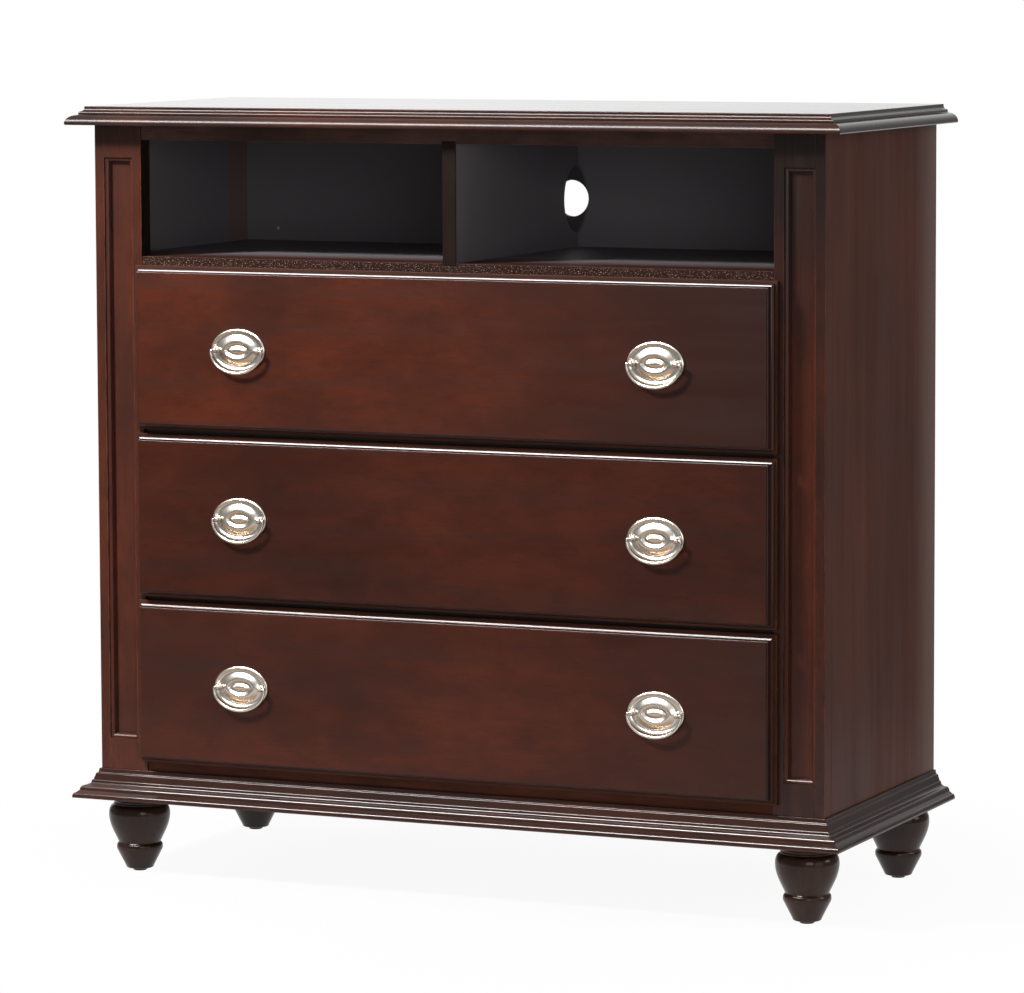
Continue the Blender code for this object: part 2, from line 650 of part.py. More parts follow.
def pull_plate(colour):
    """Plate and both posts as one casting, bored for the bail's pins. Returns its mesh."""
    plate = add_object("plate_stock", plate_mesh(), colour, None)
    shape = profile_mesh("post_stock", post_profile())
    others = []
    for side in (-1, 1):
        post = add_object("post_stock", shape, colour, None, (side * post_half, 0, 0))
        post.rotation_euler = (math.radians(90), 0, 0)
        lathe = post.modifiers.new("Lathe", "SCREW")
        lathe.axis = "Z"
        lathe.steps = POST_SEGMENTS
        lathe.render_steps = POST_SEGMENTS
        lathe.use_merge_vertices = True
        lathe.merge_threshold = 0.00001
        boolean(plate, post, "UNION")
        others.append(post)
    reach = BALL_RADIUS + 1 * MM
    pin_end = post_half + BALL_RADIUS - BAIL_PIN_REACH - BAIL_PIN_CLEARANCE
    places = [(side * (pin_end + reach / 2), -HINGE_HEIGHT, 0) for side in (-1, 1)]
    bores = cylinder_cutter("pin_bores", None, places, BAIL_PIN_RADIUS + BAIL_PIN_CLEARANCE,
                            reach, (1, 0, 0))
    boolean(plate, bores, "DIFFERENCE")
    others.append(bores)
    bpy.context.view_layer.update()
    graph = bpy.context.evaluated_depsgraph_get()
    mesh = bpy.data.meshes.new_from_object(plate.evaluated_get(graph))
    mesh.name = "pull_plate"
    mesh.shade_smooth()
    mesh.set_sharp_from_angle(angle=math.radians(40))
    for item in [plate, *others]:
        bpy.data.objects.remove(item, do_unlink=True)
    return mesh


def bail_curve(colour):
    """The bail: a pin, a tight elbow, then half an oval of wire, and the same mirrored.
    The wire swells towards its lowest point, where fingers take it."""
    ball_side = post_half + BALL_RADIUS
    spread = bail_half
    elbow = [(ball_side - BAIL_PIN_REACH, 0, BAIL_PIN_RADIUS),
             (ball_side + 0.7 * MM, 0, BAIL_PIN_RADIUS),
             (spread - 0.5 * MM, -0.4 * MM, 1.2 * BAIL_PIN_RADIUS)]
    spring = -1.8 * MM
    points = list(elbow)
    steps = 14
    for step in range(steps + 1):
        angle = math.pi * step / steps
        radius = BAIL_RADIUS + (BAIL_GRIP_RADIUS - BAIL_RADIUS) * math.sin(angle) ** 2
        points.append((spread * math.cos(angle), spring - (BAIL_DROP + spring) * math.sin(angle),
                       radius))
    points += [(-across, up, radius) for across, up, radius in reversed(elbow)]
    curve = bpy.data.curves.new("pull_bail", "CURVE")
    curve.dimensions = "3D"
    curve.bevel_depth = 1.0
    curve.bevel_resolution = 2
    curve.use_fill_caps = True
    spline = curve.splines.new("POLY")
    spline.points.add(len(points) - 1)
    for point, (across, up, radius) in zip(spline.points, points):
        point.co = (across, 0, up, 1)
        point.radius = radius
    curve.materials.append(colour)
    return curve


def add_case(chest, wood, dark, ply):
    top_board(wood, chest)
    moulding_front("cornice_front", cornice_profile(), wood, chest)
    moulding_front("base_moulding_front", base_profile(), wood, chest)
    for side, word in ((-1, "left"), (1, "right")):
        moulding_side("cornice_" + word, cornice_profile(), side, wood, chest)
        moulding_side("base_moulding_" + word, base_profile(), side, wood, chest)
        pilaster("pilaster_" + word, side, wood, chest)
        pilaster_panel("pilaster_panel_" + word, side, wood, chest)
        x = sorted((side * inner_half, side * case_half))
        board("side_panel_" + word, wood, chest, x, (inner_front, CASE_DEPTH),
              (case_bottom, case_top))
    ceiling = stepped_board("sub_top_panel", dark, chest, SHELF_SETBACK, bay_top, case_top)
    shelf = stepped_board("media_shelf", dark, chest, SHELF_SETBACK, shelf_bottom, shelf_top)
    divider_housing(ceiling, bay_top, chest)
    divider_housing(shelf, shelf_top, chest)
    bay_divider(dark, chest)
    back_panel(ply, chest)
    bottom_panel(ply, chest)
    narrow = opening_half - JOINT_GAP
    board("bottom_rail", wood, chest, (-narrow, narrow),
          (BOTTOM_RAIL_SETBACK, BOTTOM_RAIL_SETBACK + RAIL_THICKNESS),
          (case_bottom, first_front + LIP_OVERLAP))
    for index, word in enumerate(("lower", "upper")):
        middle = first_front + (index + 1) * front_pitch - FRONT_SPACING / 2
        board("drawer_rail_" + word, dark, chest, (-narrow, narrow),
              (RAIL_SETBACK, RAIL_SETBACK + RAIL_THICKNESS),
              (middle - rail_height / 2, middle + rail_height / 2))


def add_feet(chest, colour):
    mesh = profile_mesh("turned_foot", foot_profile())
    for name, place in foot_places().items():
        turned_foot(name, place, mesh, colour, chest)


def add_drawer(index, chest, meshes, wood, box_wood, ply, nickel):
    name = DRAWER_NAMES[index]
    short = name.replace("_drawer", "")
    base = first_front + index * front_pitch
    box_bottom = base + BOX_RISE
    drawer = add_empty(name, chest, (0, 0, base))
    front = add_object(name + "_front", meshes["front"], wood, drawer)
    places = []
    for side in (-1, 1):
        for post in (-1, 1):
            across = side * pull_offset + post * post_half
            places.append((across, face_plane + FRONT_THICKNESS / 2, pull_height))
    bores = cylinder_cutter(name + "_bores", drawer, places, SHANK_RADIUS + SHANK_CLEARANCE,
                            FRONT_THICKNESS * 2, (0, 1, 0))
    boolean(front, bores, "DIFFERENCE")
    inner = box_half - BOX_THICKNESS
    for side, word in ((-1, "left"), (1, "right")):
        add_object(name + "_side_" + word, meshes["side_" + word], box_wood, drawer,
                   (0, 0, BOX_RISE))
        runner("runner_" + short + "_" + word, side, box_bottom + RUNNER_RISE, box_wood, chest)
        place = (side * pull_offset, face_plane - JOINT_GAP, pull_height)
        add_object("pull_plate_" + short + "_" + word, meshes["plate"], nickel, drawer, place)
        place = (side * pull_offset, face_plane - JOINT_GAP - HINGE_HEIGHT, pull_height)
        add_object("pull_bail_" + short + "_" + word, meshes["bail"], nickel, drawer, place)
    floor = BOX_RISE + DRAWER_BOTTOM_RISE
    reach = inner + DRAWER_GROOVE_DEPTH - JOINT_GAP
    board(name + "_bottom", ply, drawer, (-reach, reach), (box_front, box_back),
          (floor, floor + DRAWER_BOTTOM_THICKNESS))
    board(name + "_back", box_wood, drawer, (JOINT_GAP - inner, inner - JOINT_GAP),
          (box_back - BOX_THICKNESS, box_back),
          (floor + DRAWER_BOTTOM_THICKNESS + JOINT_GAP, BOX_RISE + BOX_HEIGHT - BOX_BACK_DROP))


def build():
    clear_scene()
    wood = finish("cherry_stain", (0.102, 0.024, 0.0145), 0.25)
    dark = finish("dark_stain", (0.030, 0.0125, 0.0095), 0.35)
    foot_stain = finish("foot_stain", (0.027, 0.0125, 0.009), 0.22)
    box_wood = finish("box_wood", (0.42, 0.27, 0.15), 0.55)
    ply = finish("plywood", (0.20, 0.10, 0.055), 0.6)
    nickel = finish("satin_nickel", (0.72, 0.68, 0.62), 0.22, 1.0)
    chest = add_empty("media_chest", None, (0, case_front, 0))
    add_case(chest, wood, dark, ply)
    add_feet(chest, foot_stain)
    meshes = {
        "front": drawer_front_mesh(),
        "side_left": drawer_side_mesh(-1),
        "side_right": drawer_side_mesh(1),
        "plate": pull_plate(nickel),
        "bail": bail_curve(nickel),
    }
    for index in range(len(DRAWER_NAMES)):
        add_drawer(index, chest, meshes, wood, box_wood, ply, nickel)


build()
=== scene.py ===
# %% [markdown]
# # A media chest with an open bay over three drawers
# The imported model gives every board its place. This lesson dresses it: the moulded,
# turned and stamped pieces get finer surfaces, and every board gets its finish.

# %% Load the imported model
import math

import bpy
import bmesh
import numpy as np
from mathutils import Matrix, Vector


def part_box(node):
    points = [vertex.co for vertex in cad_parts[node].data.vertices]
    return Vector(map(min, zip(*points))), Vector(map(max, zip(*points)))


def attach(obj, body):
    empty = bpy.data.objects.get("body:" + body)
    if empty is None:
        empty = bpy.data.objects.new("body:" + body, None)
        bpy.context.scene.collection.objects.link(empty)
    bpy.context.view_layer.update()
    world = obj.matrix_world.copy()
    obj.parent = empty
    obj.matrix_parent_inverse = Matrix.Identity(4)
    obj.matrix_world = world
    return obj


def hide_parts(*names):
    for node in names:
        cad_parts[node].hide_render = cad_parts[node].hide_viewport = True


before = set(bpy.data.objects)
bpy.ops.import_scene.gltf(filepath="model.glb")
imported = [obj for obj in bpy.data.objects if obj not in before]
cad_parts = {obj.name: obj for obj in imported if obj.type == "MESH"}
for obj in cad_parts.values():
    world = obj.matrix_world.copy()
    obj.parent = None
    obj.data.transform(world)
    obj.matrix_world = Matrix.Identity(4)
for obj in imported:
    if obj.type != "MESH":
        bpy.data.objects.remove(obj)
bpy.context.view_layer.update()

MM = 0.001

# %% [markdown]
# ## The camera
# The photograph was taken from the right of the chest and a little above its top, with a
# long lens, so parallel edges hardly close up. The place and turn were solved from the
# corners of the real piece, and a small upward shift keeps the posts nearly upright.

# %% Stand the camera where the photograph was taken
PHOTO_WIDTH = 1024
FOCAL_PIXELS = 5009.5
UPWARD_SHIFT = -60
CAMERA_PLACE = (2.7541, -6.1820, 1.2589)
YAW, PITCH, ROLL = (math.radians(angle) for angle in (24.006, 5.539, -0.219))
ahead = Vector((-math.sin(YAW) * math.cos(PITCH), math.cos(YAW) * math.cos(PITCH),
                -math.sin(PITCH)))
level = Vector((math.cos(YAW), math.sin(YAW), 0))
upward = level.cross(ahead)
right = level * math.cos(ROLL) + upward * math.sin(ROLL)
over = upward * math.cos(ROLL) - level * math.sin(ROLL)
lens = bpy.data.cameras.new("studio_camera")
camera = bpy.data.objects.new("studio_camera", lens)
bpy.context.scene.collection.objects.link(camera)
camera.matrix_world = (Matrix.Translation(CAMERA_PLACE)
                       @ Matrix((right, over, -ahead)).transposed().to_4x4())
lens.sensor_width = 36
lens.lens = FOCAL_PIXELS * lens.sensor_width / PHOTO_WIDTH
lens.shift_y = UPWARD_SHIFT / PHOTO_WIDTH
bpy.context.scene.camera = camera
print("lens, mm:", round(lens.lens, 1))

# %% [markdown]
# ## Finishes
# A shader is a small graph. The helper below adds one node, sets its switches, and either
# fills a socket with a value or joins it to another node's socket, so that a finish reads
# from top to bottom like a recipe.

# %% A helper for shader graphs
def add_node(tree, kind, sockets=None, **settings):
    """One new node. A socket given as a value takes it; given as a socket, it is joined."""
    made = tree.nodes.new("ShaderNode" + kind)
    for name, value in settings.items():
        setattr(made, name, value)
    for name, value in (sockets or {}).items():
        if isinstance(value, bpy.types.NodeSocket):
            tree.links.new(value, made.inputs[name])
        else:
            made.inputs[name].default_value = value
    return made


def new_finish(name):
    """An empty Principled material: its tree and its shader."""
    material = bpy.data.materials.new(name)
    material.use_nodes = True
    return material, material.node_tree, material.node_tree.nodes["Principled BSDF"]


def between(tree, share, first, second):
    """Mix of two colours by a share from 0 to 1."""
    mixed = add_node(tree, "Mix", {0: share, 6: first, 7: second}, data_type="RGBA")
    return mixed.outputs[2]


def spread(tree, value, low, high, start=0.0, end=1.0):
    """Carries a value's range from low and high to start and end, held at both."""
    ranged = add_node(tree, "MapRange", {0: value, 1: low, 2: high, 3: start, 4: end})
    return ranged.outputs[0]


# %% [markdown]
# Stained cherry has three things to see: slow clouds and smaller blotches where the stain
# soaked in more or less, the long figure of the growth rings, and short dark pores. All of
# them are noise read on the piece's own coordinates, squeezed across the board and drawn
# out along its grain. The alternative is a painted image, but noise stays sharp at every
# distance and runs through a board as real grain does. The lacquer is a thin gloss with a
# faint ripple.

# %% The recipe for stained wood
FLECK = (0.42, 0.33, 0.29)
THIN = 0.1 * MM


def stained_wood(name, tone, deep, along, offset, rough=0.34, shine=0.25, coat=0.0,
                 figured=0.5, rub_and_sheen=0.0, ripple=0.2, flecks=0.0):
    """Wood whose grain runs along axis 0, 1 or 2, cut from its own place in the noise. Rub shows
    paler stain where the piece's own attribute for wear and sheen is high: worn stain on mouldings
    and edges, and a painted highlight along the eased arrises of the posts. Flecks are pale pores."""
    material, tree, shader = new_finish(name)
    own = add_node(tree, "TexCoord").outputs["Object"]

    def drawn_out(share):
        scale = [1.0, 1.0, 1.0]
        scale[along] = share
        return add_node(tree, "Mapping", {0: own, 1: offset, 3: scale}).outputs[0]

    cloud = add_node(tree, "TexNoise", {"Vector": drawn_out(0.6), "Scale": 6.0, "Detail": 5.0,
                                        "Roughness": 0.6}).outputs[0]
    figure = add_node(tree, "TexNoise", {"Vector": drawn_out(0.05), "Scale": 38.0, "Detail": 5.0,
                                         "Roughness": 0.6, "Distortion": 0.6}).outputs[0]
    pores = add_node(tree, "TexNoise", {"Vector": drawn_out(0.08), "Scale": 560.0,
                                        "Detail": 2.0}).outputs[0]
    blotch = add_node(tree, "TexNoise", {"Vector": drawn_out(0.45), "Scale": 30.0, "Detail": 6.0,
                                         "Roughness": 0.7}).outputs[0]
    colour = between(tree, spread(tree, cloud, 0.36, 0.66), (*deep, 1), (*tone, 1))
    dark = tuple(0.5 * part for part in deep)
    colour = between(tree, spread(tree, blotch, 0.42, 0.62, 0.0, 0.9 * figured), colour,
                     (*dark, 1))
    colour = between(tree, spread(tree, figure, 0.46, 0.72, 0.0, figured), colour, (*dark, 1))
    colour = between(tree, spread(tree, pores, 0.54, 0.7, 0.0, 0.8 * figured), colour, (*dark, 1))
    # Paler stain by the piece's attribute for wear and sheen: worn stain on mouldings and edges,
    # and a painted highlight along the eased arrises of the posts.
    if rub_and_sheen:
        wear_and_sheen_share = add_node(tree, "Attribute", attribute_name="wear_and_sheen").outputs["Fac"]
        patch = add_node(tree, "TexNoise", {"Vector": drawn_out(0.3), "Scale": 120.0,
                                            "Detail": 3.0}).outputs[0]
        patch = spread(tree, patch, 0.35, 0.6)
        rub_and_sheen_share = add_node(tree, "Math", {0: wear_and_sheen_share, 1: patch}, operation="MULTIPLY").outputs[0]
        pale = tuple(min(1.0, 2.6 * part + 0.02) for part in tone)
        colour = between(tree, spread(tree, rub_and_sheen_share, 0.0, 1.0, 0.0, rub_and_sheen), colour, (*pale, 1))
    if flecks:
        fleck = add_node(tree, "TexNoise", {"Vector": drawn_out(0.5), "Scale": 900.0}).outputs[0]
        colour = between(tree, spread(tree, fleck, 0.61, 0.66, 0.0, flecks), colour, (*FLECK, 1))
    tree.links.new(colour, shader.inputs["Base Color"])
    tree.links.new(spread(tree, figure, 0.3, 0.7, rough - 0.05, rough + 0.08),
                   shader.inputs["Roughness"])
    shader.inputs["Specular IOR Level"].default_value = shine
    shader.inputs["Coat Weight"].default_value = coat
    shader.inputs["Coat Roughness"].default_value = 0.08
    shader.inputs["Coat IOR"].default_value = 1.6
    waves = add_node(tree, "TexNoise", {"Vector": own, "Scale": 170.0, "Detail": 2.0}).outputs[0]
    height = add_node(tree, "Math", {0: waves, 1: pores}, operation="SUBTRACT").outputs[0]
    bump = add_node(tree, "Bump", {"Height": height, "Strength": ripple, "Distance": THIN})
    tree.links.new(bump.outputs[0], shader.inputs["Normal"])
    return material


def overpaint(material, paint, *limits):
    """Lays one more colour over a finish. Each limit is (axis, place, direction): the
    colour begins at that place along the axis, is full a direction further on, and shows
    where every limit allows it."""
    tree = material.node_tree
    own = add_node(tree, "TexCoord").outputs["Object"]
    axes = add_node(tree, "SeparateXYZ", {0: own}).outputs
    share = 1.0
    for axis, place, direction in limits:
        past = spread(tree, axes[axis], place, place + direction)
        share = add_node(tree, "Math", {0: share, 1: past}, operation="MULTIPLY").outputs[0]
    base = tree.nodes["Principled BSDF"].inputs["Base Color"]
    tree.links.new(between(tree, share, base.links[0].from_socket, (*paint, 1)), base)


def ring_paint(material, paint, centre, wide, high, behind):
    """Lays a colour over a finish inside an oval that stands square to Y, on what lies in
    front of a given depth."""
    tree = material.node_tree
    own = add_node(tree, "TexCoord").outputs["Object"]
    place = add_node(tree, "Mapping", {0: own, 1: (-centre[0] / wide, 0, -centre[1] / high),
                                       3: (1 / wide, 0, 1 / high)}).outputs[0]
    away = add_node(tree, "VectorMath", {0: place}, operation="LENGTH").outputs["Value"]
    depth = add_node(tree, "SeparateXYZ", {0: own}).outputs["Y"]
    before = spread(tree, depth, behind, behind - 1 * MM)
    base = tree.nodes["Principled BSDF"].inputs["Base Color"]
    within = add_node(tree, "Math", {0: spread(tree, away, 1.1, 0.9), 1: before},
                      operation="MULTIPLY").outputs[0]
    tree.links.new(between(tree, within, base.links[0].from_socket, (*paint, 1)), base)


# %% [markdown]
# Each colour below is a stain as it looks on its own boards. The darkest ones go on the mouldings
# and the rails. The drawer fronts darken towards their right ends, which is painted shade, and the
# bottom one towards its left end as well.

# %% Stains, and the finishes that need no other size
CHERRY = (0.150, 0.0275, 0.0090)
CHERRY_DEEP = (0.070, 0.0150, 0.0065)
CHERRY_SHADE_AND_DARK_END = (0.036, 0.0115, 0.0075)
POST = (0.108, 0.0250, 0.0115)
POST_DEEP = (0.066, 0.0175, 0.0090)
SIDE = (0.098, 0.0250, 0.0115)
SIDE_DEEP = (0.066, 0.0180, 0.0095)
MOULDING = (0.070, 0.0200, 0.0110)
NIGHT = (0.034, 0.0125, 0.0085)
NIGHT_DEEP = (0.018, 0.0085, 0.0065)
SHELF = (0.048, 0.015, 0.010)
BAY = (0.225, 0.209, 0.222)
HOLE_OVAL_TONE = (0.085, 0.070, 0.068)
PALE_DOT = (0.7, 0.7, 0.7)
PALE, PALE_DEEP = (0.46, 0.30, 0.17), (0.36, 0.22, 0.12)
PLY, PLY_DEEP = (0.20, 0.10, 0.055), (0.15, 0.075, 0.042)
PLY_GRAIN = (7.1, 8.3, 9.7)

# Name, place of its grain, share of the full tone, and where its painted shade starts to darken it
# to the right
FRONTS = (("bottom_drawer", 3.1, 0.60, 0.2), ("middle_drawer", 7.2, 0.49, 0.4),
          ("top_drawer", 12.9, 0.78, 0.02))
front_wood = {}
for name, place, share, shade_from in FRONTS:
    front_wood[name] = stained_wood("cherry_" + name, [share * part for part in CHERRY],
                                    [share * part for part in CHERRY_DEEP], 0,
                                    (place, 0.3 * place, place), figured=0.4)
    # Painted shade: each front darkens towards its right end.
    overpaint(front_wood[name], CHERRY_SHADE_AND_DARK_END, (0, shade_from, 0.4))
# The bottom front darkens to the left as well.
overpaint(front_wood["bottom_drawer"], CHERRY_SHADE_AND_DARK_END, (0, -0.2, -0.5))
edge_wood = stained_wood("cherry_edge", (0.058, 0.0120, 0.0060), NIGHT, 0, (3.7, 5.9, 1.2),
                         rough=0.3, shine=0.1, coat=0.3, figured=0.3, rub_and_sheen=0.12, ripple=0.08)
rim_wood = stained_wood("cherry_rim", (0.095, 0.0340, 0.0190), (0.062, 0.0210, 0.0120), 0,
                        (6.1, 3.9, 2.2), rough=0.4, shine=0.1, figured=0.2)
run_wood = stained_wood("cherry_moulding", MOULDING, NIGHT, 0, (9.3, 2.9, 0.4), rough=0.3,
                        shine=0.1, coat=0.4, figured=0.4, rub_and_sheen=0.12, ripple=0.06)
return_wood = stained_wood("cherry_return", (0.054, 0.0170, 0.0110), NIGHT_DEEP, 1,
                           (2.2, 6.1, 4.4), rough=0.3, shine=0.05, coat=0.38, figured=0.4,
                           rub_and_sheen=0.12, ripple=0.06)
lip_side_wood = stained_wood("cherry_lip_side", (0.034, 0.0150, 0.0120), NIGHT_DEEP, 1,
                             (2.2, 6.1, 4.4), rough=0.3, shine=0.05, coat=0.8, figured=0.4,
                             rub_and_sheen=0.12, ripple=0.0)
top_wood = stained_wood("cherry_top", MOULDING, NIGHT_DEEP, 0, (0.9, 3.3, 7.2), rough=0.2,
                        shine=0.3, coat=0.8, ripple=0.0)
lip_wood = stained_wood("cherry_lip", MOULDING, NIGHT_DEEP, 0, (0.9, 3.3, 7.2), rough=0.3,
                        shine=0.1, coat=0.09, figured=0.4, rub_and_sheen=0.12, ripple=0.0)
rail_wood = stained_wood("dark_rail", NIGHT, NIGHT_DEEP, 0, (8.8, 5.2, 1.9), rough=0.3,
                         shine=0.35)
low_wood = stained_wood("cherry_low_rail", (0.108, 0.0300, 0.0135), POST_DEEP, 0,
                        (2.8, 0.2, 5.9), rough=0.4, shine=0.08)
foot_wood = stained_wood("dark_foot", (0.056, 0.0190, 0.0085), (0.024, 0.0100, 0.0060), 2,
                         (4.4, 9.9, 6.3), rough=0.28, shine=0.08, coat=0.28, ripple=0.05)
box_wood = stained_wood("pale_box", PALE, PALE_DEEP, 1, (3.9, 2.7, 5.5), rough=0.5,
                        figured=0.25)
box_back_wood = stained_wood("pale_box_back", PALE, PALE_DEEP, 0, (1.3, 7.7, 2.5), rough=0.5,
                             figured=0.25)
ply = stained_wood("brown_ply", PLY, PLY_DEEP, 0, PLY_GRAIN, rough=0.55)
print("wood finishes:", len(bpy.data.materials))

# %% [markdown]
# The pulls are stamped and cast metal under satin nickel plate: a warm, pale metal whose polish is
# broken by a very fine brushing. Every face that looks down is painted browner, as painted shade.
# That tone rides on the piece's own "hollow" attribute, which is worked out from the shape.

# %% The nickel
NICKEL = (0.72, 0.67, 0.61)
# The browner tone of the faces that look down, a painted shade
NICKEL_UNDERSIDE_SHADE = (0.37, 0.26, 0.17)
NICKEL_DULL = (0.52, 0.45, 0.38)


def satin_nickel(name):
    """Metal with two noises: fine lines for the brushing, and smears that dull it."""
    material, tree, shader = new_finish(name)
    own = add_node(tree, "TexCoord").outputs["Object"]
    brushed = add_node(tree, "Mapping", {0: own, 3: (0.1, 1.0, 1.0)}).outputs[0]
    lines = add_node(tree, "TexNoise", {"Vector": brushed, "Scale": 3000.0,
                                        "Detail": 2.0}).outputs[0]
    smear = add_node(tree, "TexNoise", {"Vector": own, "Scale": 110.0, "Detail": 3.0}).outputs[0]
    # The hollow attribute carries painted shade on the faces that look down.
    hollow = add_node(tree, "Attribute", attribute_name="hollow").outputs["Fac"]
    toned = between(tree, hollow, (*NICKEL, 1), (*NICKEL_UNDERSIDE_SHADE, 1))
    dulled = between(tree, spread(tree, smear, 0.45, 0.75, 0.0, 0.3), toned, (*NICKEL_DULL, 1))
    tree.links.new(dulled, shader.inputs["Base Color"])
    shader.inputs["Metallic"].default_value = 1.0
    tree.links.new(spread(tree, smear, 0.3, 0.7, 0.22, 0.3), shader.inputs["Roughness"])
    bump = add_node(tree, "Bump", {"Height": lines, "Strength": 0.12, "Distance": THIN})
    tree.links.new(bump.outputs[0], shader.inputs["Normal"])
    return material


nickel = satin_nickel("satin_nickel")

# %% [markdown]
# ## Surfaces from arrays
# Every new piece is a grid: rows of points, each row as long as the next. Quads join
# neighbours, the ends are closed, and no point is visited by hand. A moulding is the same
# outline set down at each end of its run, a drawer front is a stack of shrinking
# rectangles, and a foot is an outline turned about its axis.

# %% Skin a grid of points, and seat a piece
def skin(name, rows, marks=None, sharp=32):
    """A closed skin over an array of rows x columns x 3, joined round each row.
    marks holds one number per row or point for each named attribute."""
    count, around = rows.shape[:2]
    index = np.arange(count * around).reshape(count, around)
    beside = np.roll(index, -1, axis=1)
    quads = np.stack([index[:-1], beside[:-1], beside[1:], index[1:]], axis=-1).reshape(-1, 4)
    faces = quads.tolist() + [index[0][::-1].tolist(), index[-1].tolist()]
    mesh = bpy.data.meshes.new(name)
    mesh.from_pydata(rows.reshape(-1, 3).tolist(), [], faces)
    for word, values in (marks or {}).items():
        layer = mesh.attributes.new(word, "FLOAT", "POINT")
        layer.data.foreach_set("value", np.broadcast_to(values, (count, around)).ravel())
    shell = bmesh.new()
    shell.from_mesh(mesh)
    bmesh.ops.recalc_face_normals(shell, faces=shell.faces)
    shell.to_mesh(mesh)
    shell.free()
    mesh.shade_smooth()
    mesh.set_sharp_from_angle(angle=math.radians(sharp))
    return mesh


def paint_underside_shade(mesh, extra):
    """Marks the faces that look down, by how far their normals dip, in the "hollow" attribute,
    which carries painted shade. Extra browns the whole piece a little, or keeps it paler where it
    is less than 0."""
    normals = np.empty(3 * len(mesh.vertices))
    mesh.vertex_normals.foreach_get("vector", normals)
    dip = np.clip(-2.2 * normals.reshape(-1, 3)[:, 2] + extra, 0, 1)
    mesh.attributes.new("hollow", "FLOAT", "POINT").data.foreach_set("value", dip)
    return mesh


def join_meshes(name, meshes):
    """Several closed skins as one mesh."""
    whole = bmesh.new()
    for mesh in meshes:
        whole.from_mesh(mesh)
    joined = bpy.data.meshes.new(name)
    whole.to_mesh(joined)
    whole.free()
    return joined


def seat(name, mesh, finish, body, slot, *nodes):
    """Puts a finished piece in the scene, on its body, in place of its CAD nodes."""
    item = bpy.data.objects.new(name, mesh)
    bpy.context.scene.collection.objects.link(item)
    mesh.materials.append(finish)
    item.modifiers.new("Flats_stay_flat", "WEIGHTED_NORMAL").keep_sharp = True
    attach(item, body)
    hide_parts(*nodes)


# %% [markdown]
# ## Profiles
# A moulding's section is drawn as a cutter is ground: straight fillets and quarter ovals.
# A quarter oval that leaves its start sideways is a bulge on a falling profile, and one
# that leaves it downwards is a hollow. Where a profile bulges, hands and cloths rub the
# stain, so each point's turn is kept as its wear.

# %% Quarter ovals and wear
def quarter(start, end, first_axis, steps=10):
    """Points on a quarter oval: one coordinate runs as a sine and the other as one minus
    a cosine, so that it leaves start along first_axis."""
    turn = np.linspace(0, np.pi / 2, steps + 1)[1:]
    share = np.stack([np.sin(turn), 1 - np.cos(turn)], axis=1)
    if first_axis:
        share = share[:, ::-1]
    start, end = np.array(start, float), np.array(end, float)
    return (start + (end - start) * share).tolist()


def wear_of(profile):
    """How sharply an open or closed profile turns outwards at each point, from 0 to 1."""
    before = profile - np.roll(profile, 1, axis=0)
    after = np.roll(profile, -1, axis=0) - profile
    cross = before[:, 0] * after[:, 1] - before[:, 1] * after[:, 0]
    size = np.linalg.norm(before, axis=1) * np.linalg.norm(after, axis=1) + 1e-12
    turn = cross / size
    area = np.sum(profile[:, 0] * np.roll(profile[:, 1], -1)
                  - np.roll(profile[:, 0], -1) * profile[:, 1])
    return np.clip(turn * np.sign(area) * 1.5, 0, 1)


# %% Sizes of the case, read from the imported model
side_low, side_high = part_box("side_panel_right")
post_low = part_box("pilaster_right")[0]
top_low, top_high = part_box("top_panel")
FRONT = post_low.y
REAR = side_high.y
HALF = side_high.x
FLOOR_OF_CASE = side_low.z
HEAD_OF_CASE = side_high.z
GAP = 0.3 * MM
MITRE = 0.2 * MM
WALL = side_low.x
SIDES = ((-1, "left"), (1, "right"))
print("case, mm:", round(2 * HALF / MM), "x", round((REAR - FRONT) / MM))

# %% [markdown]
# The bay is sprayed near-black inside, so that the equipment in it stands out and the back seems
# to vanish. The boards round it show stained wood outside and paint inside, and the shelf turns
# from one to the other a hand's breadth behind its front edge. A darker oval is laid round the
# cable hole, a brownish band runs along the rear of the inner faces of the sides, and low on the
# left of the back sits a small pale dot.
#
# The right side has a soft light along its rear edge, which is laid into its finish. The posts
# carry painted shade: they darken towards their heads, under the overhang of the cornice, and are
# darkest on the narrow faces that look into the opening. The right post and its panel take a
# darker stain than the left, a painted shade as well.

# %% Boards with two faces
SIDE_GRAIN = (5.3, 0.7, 8.1)
REAR_LIGHT = (0.190, 0.120, 0.100)
REAR_BAND_TONE = (0.270, 0.190, 0.165)
back_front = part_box("back_panel")[0].y
left_wood = stained_wood("cherry_side_left", SIDE, SIDE_DEEP, 2, SIDE_GRAIN, rough=0.45,
                         shine=0.1, figured=0.1)
right_wood = stained_wood("cherry_side_right", SIDE, SIDE_DEEP, 2, SIDE_GRAIN, rough=0.45,
                          shine=0.1, figured=0.1)
overpaint(right_wood, REAR_LIGHT, (1, REAR - 85 * MM, 90 * MM))
for wood, side in ((left_wood, -1), (right_wood, 1)):
    inside = (0, side * (WALL + 2 * MM), -side * 1 * MM)
    overpaint(wood, BAY, inside)
    # A brownish band along the rear of the inner faces.
    overpaint(wood, REAR_BAND_TONE, inside, (1, back_front - 58 * MM, 4 * MM))
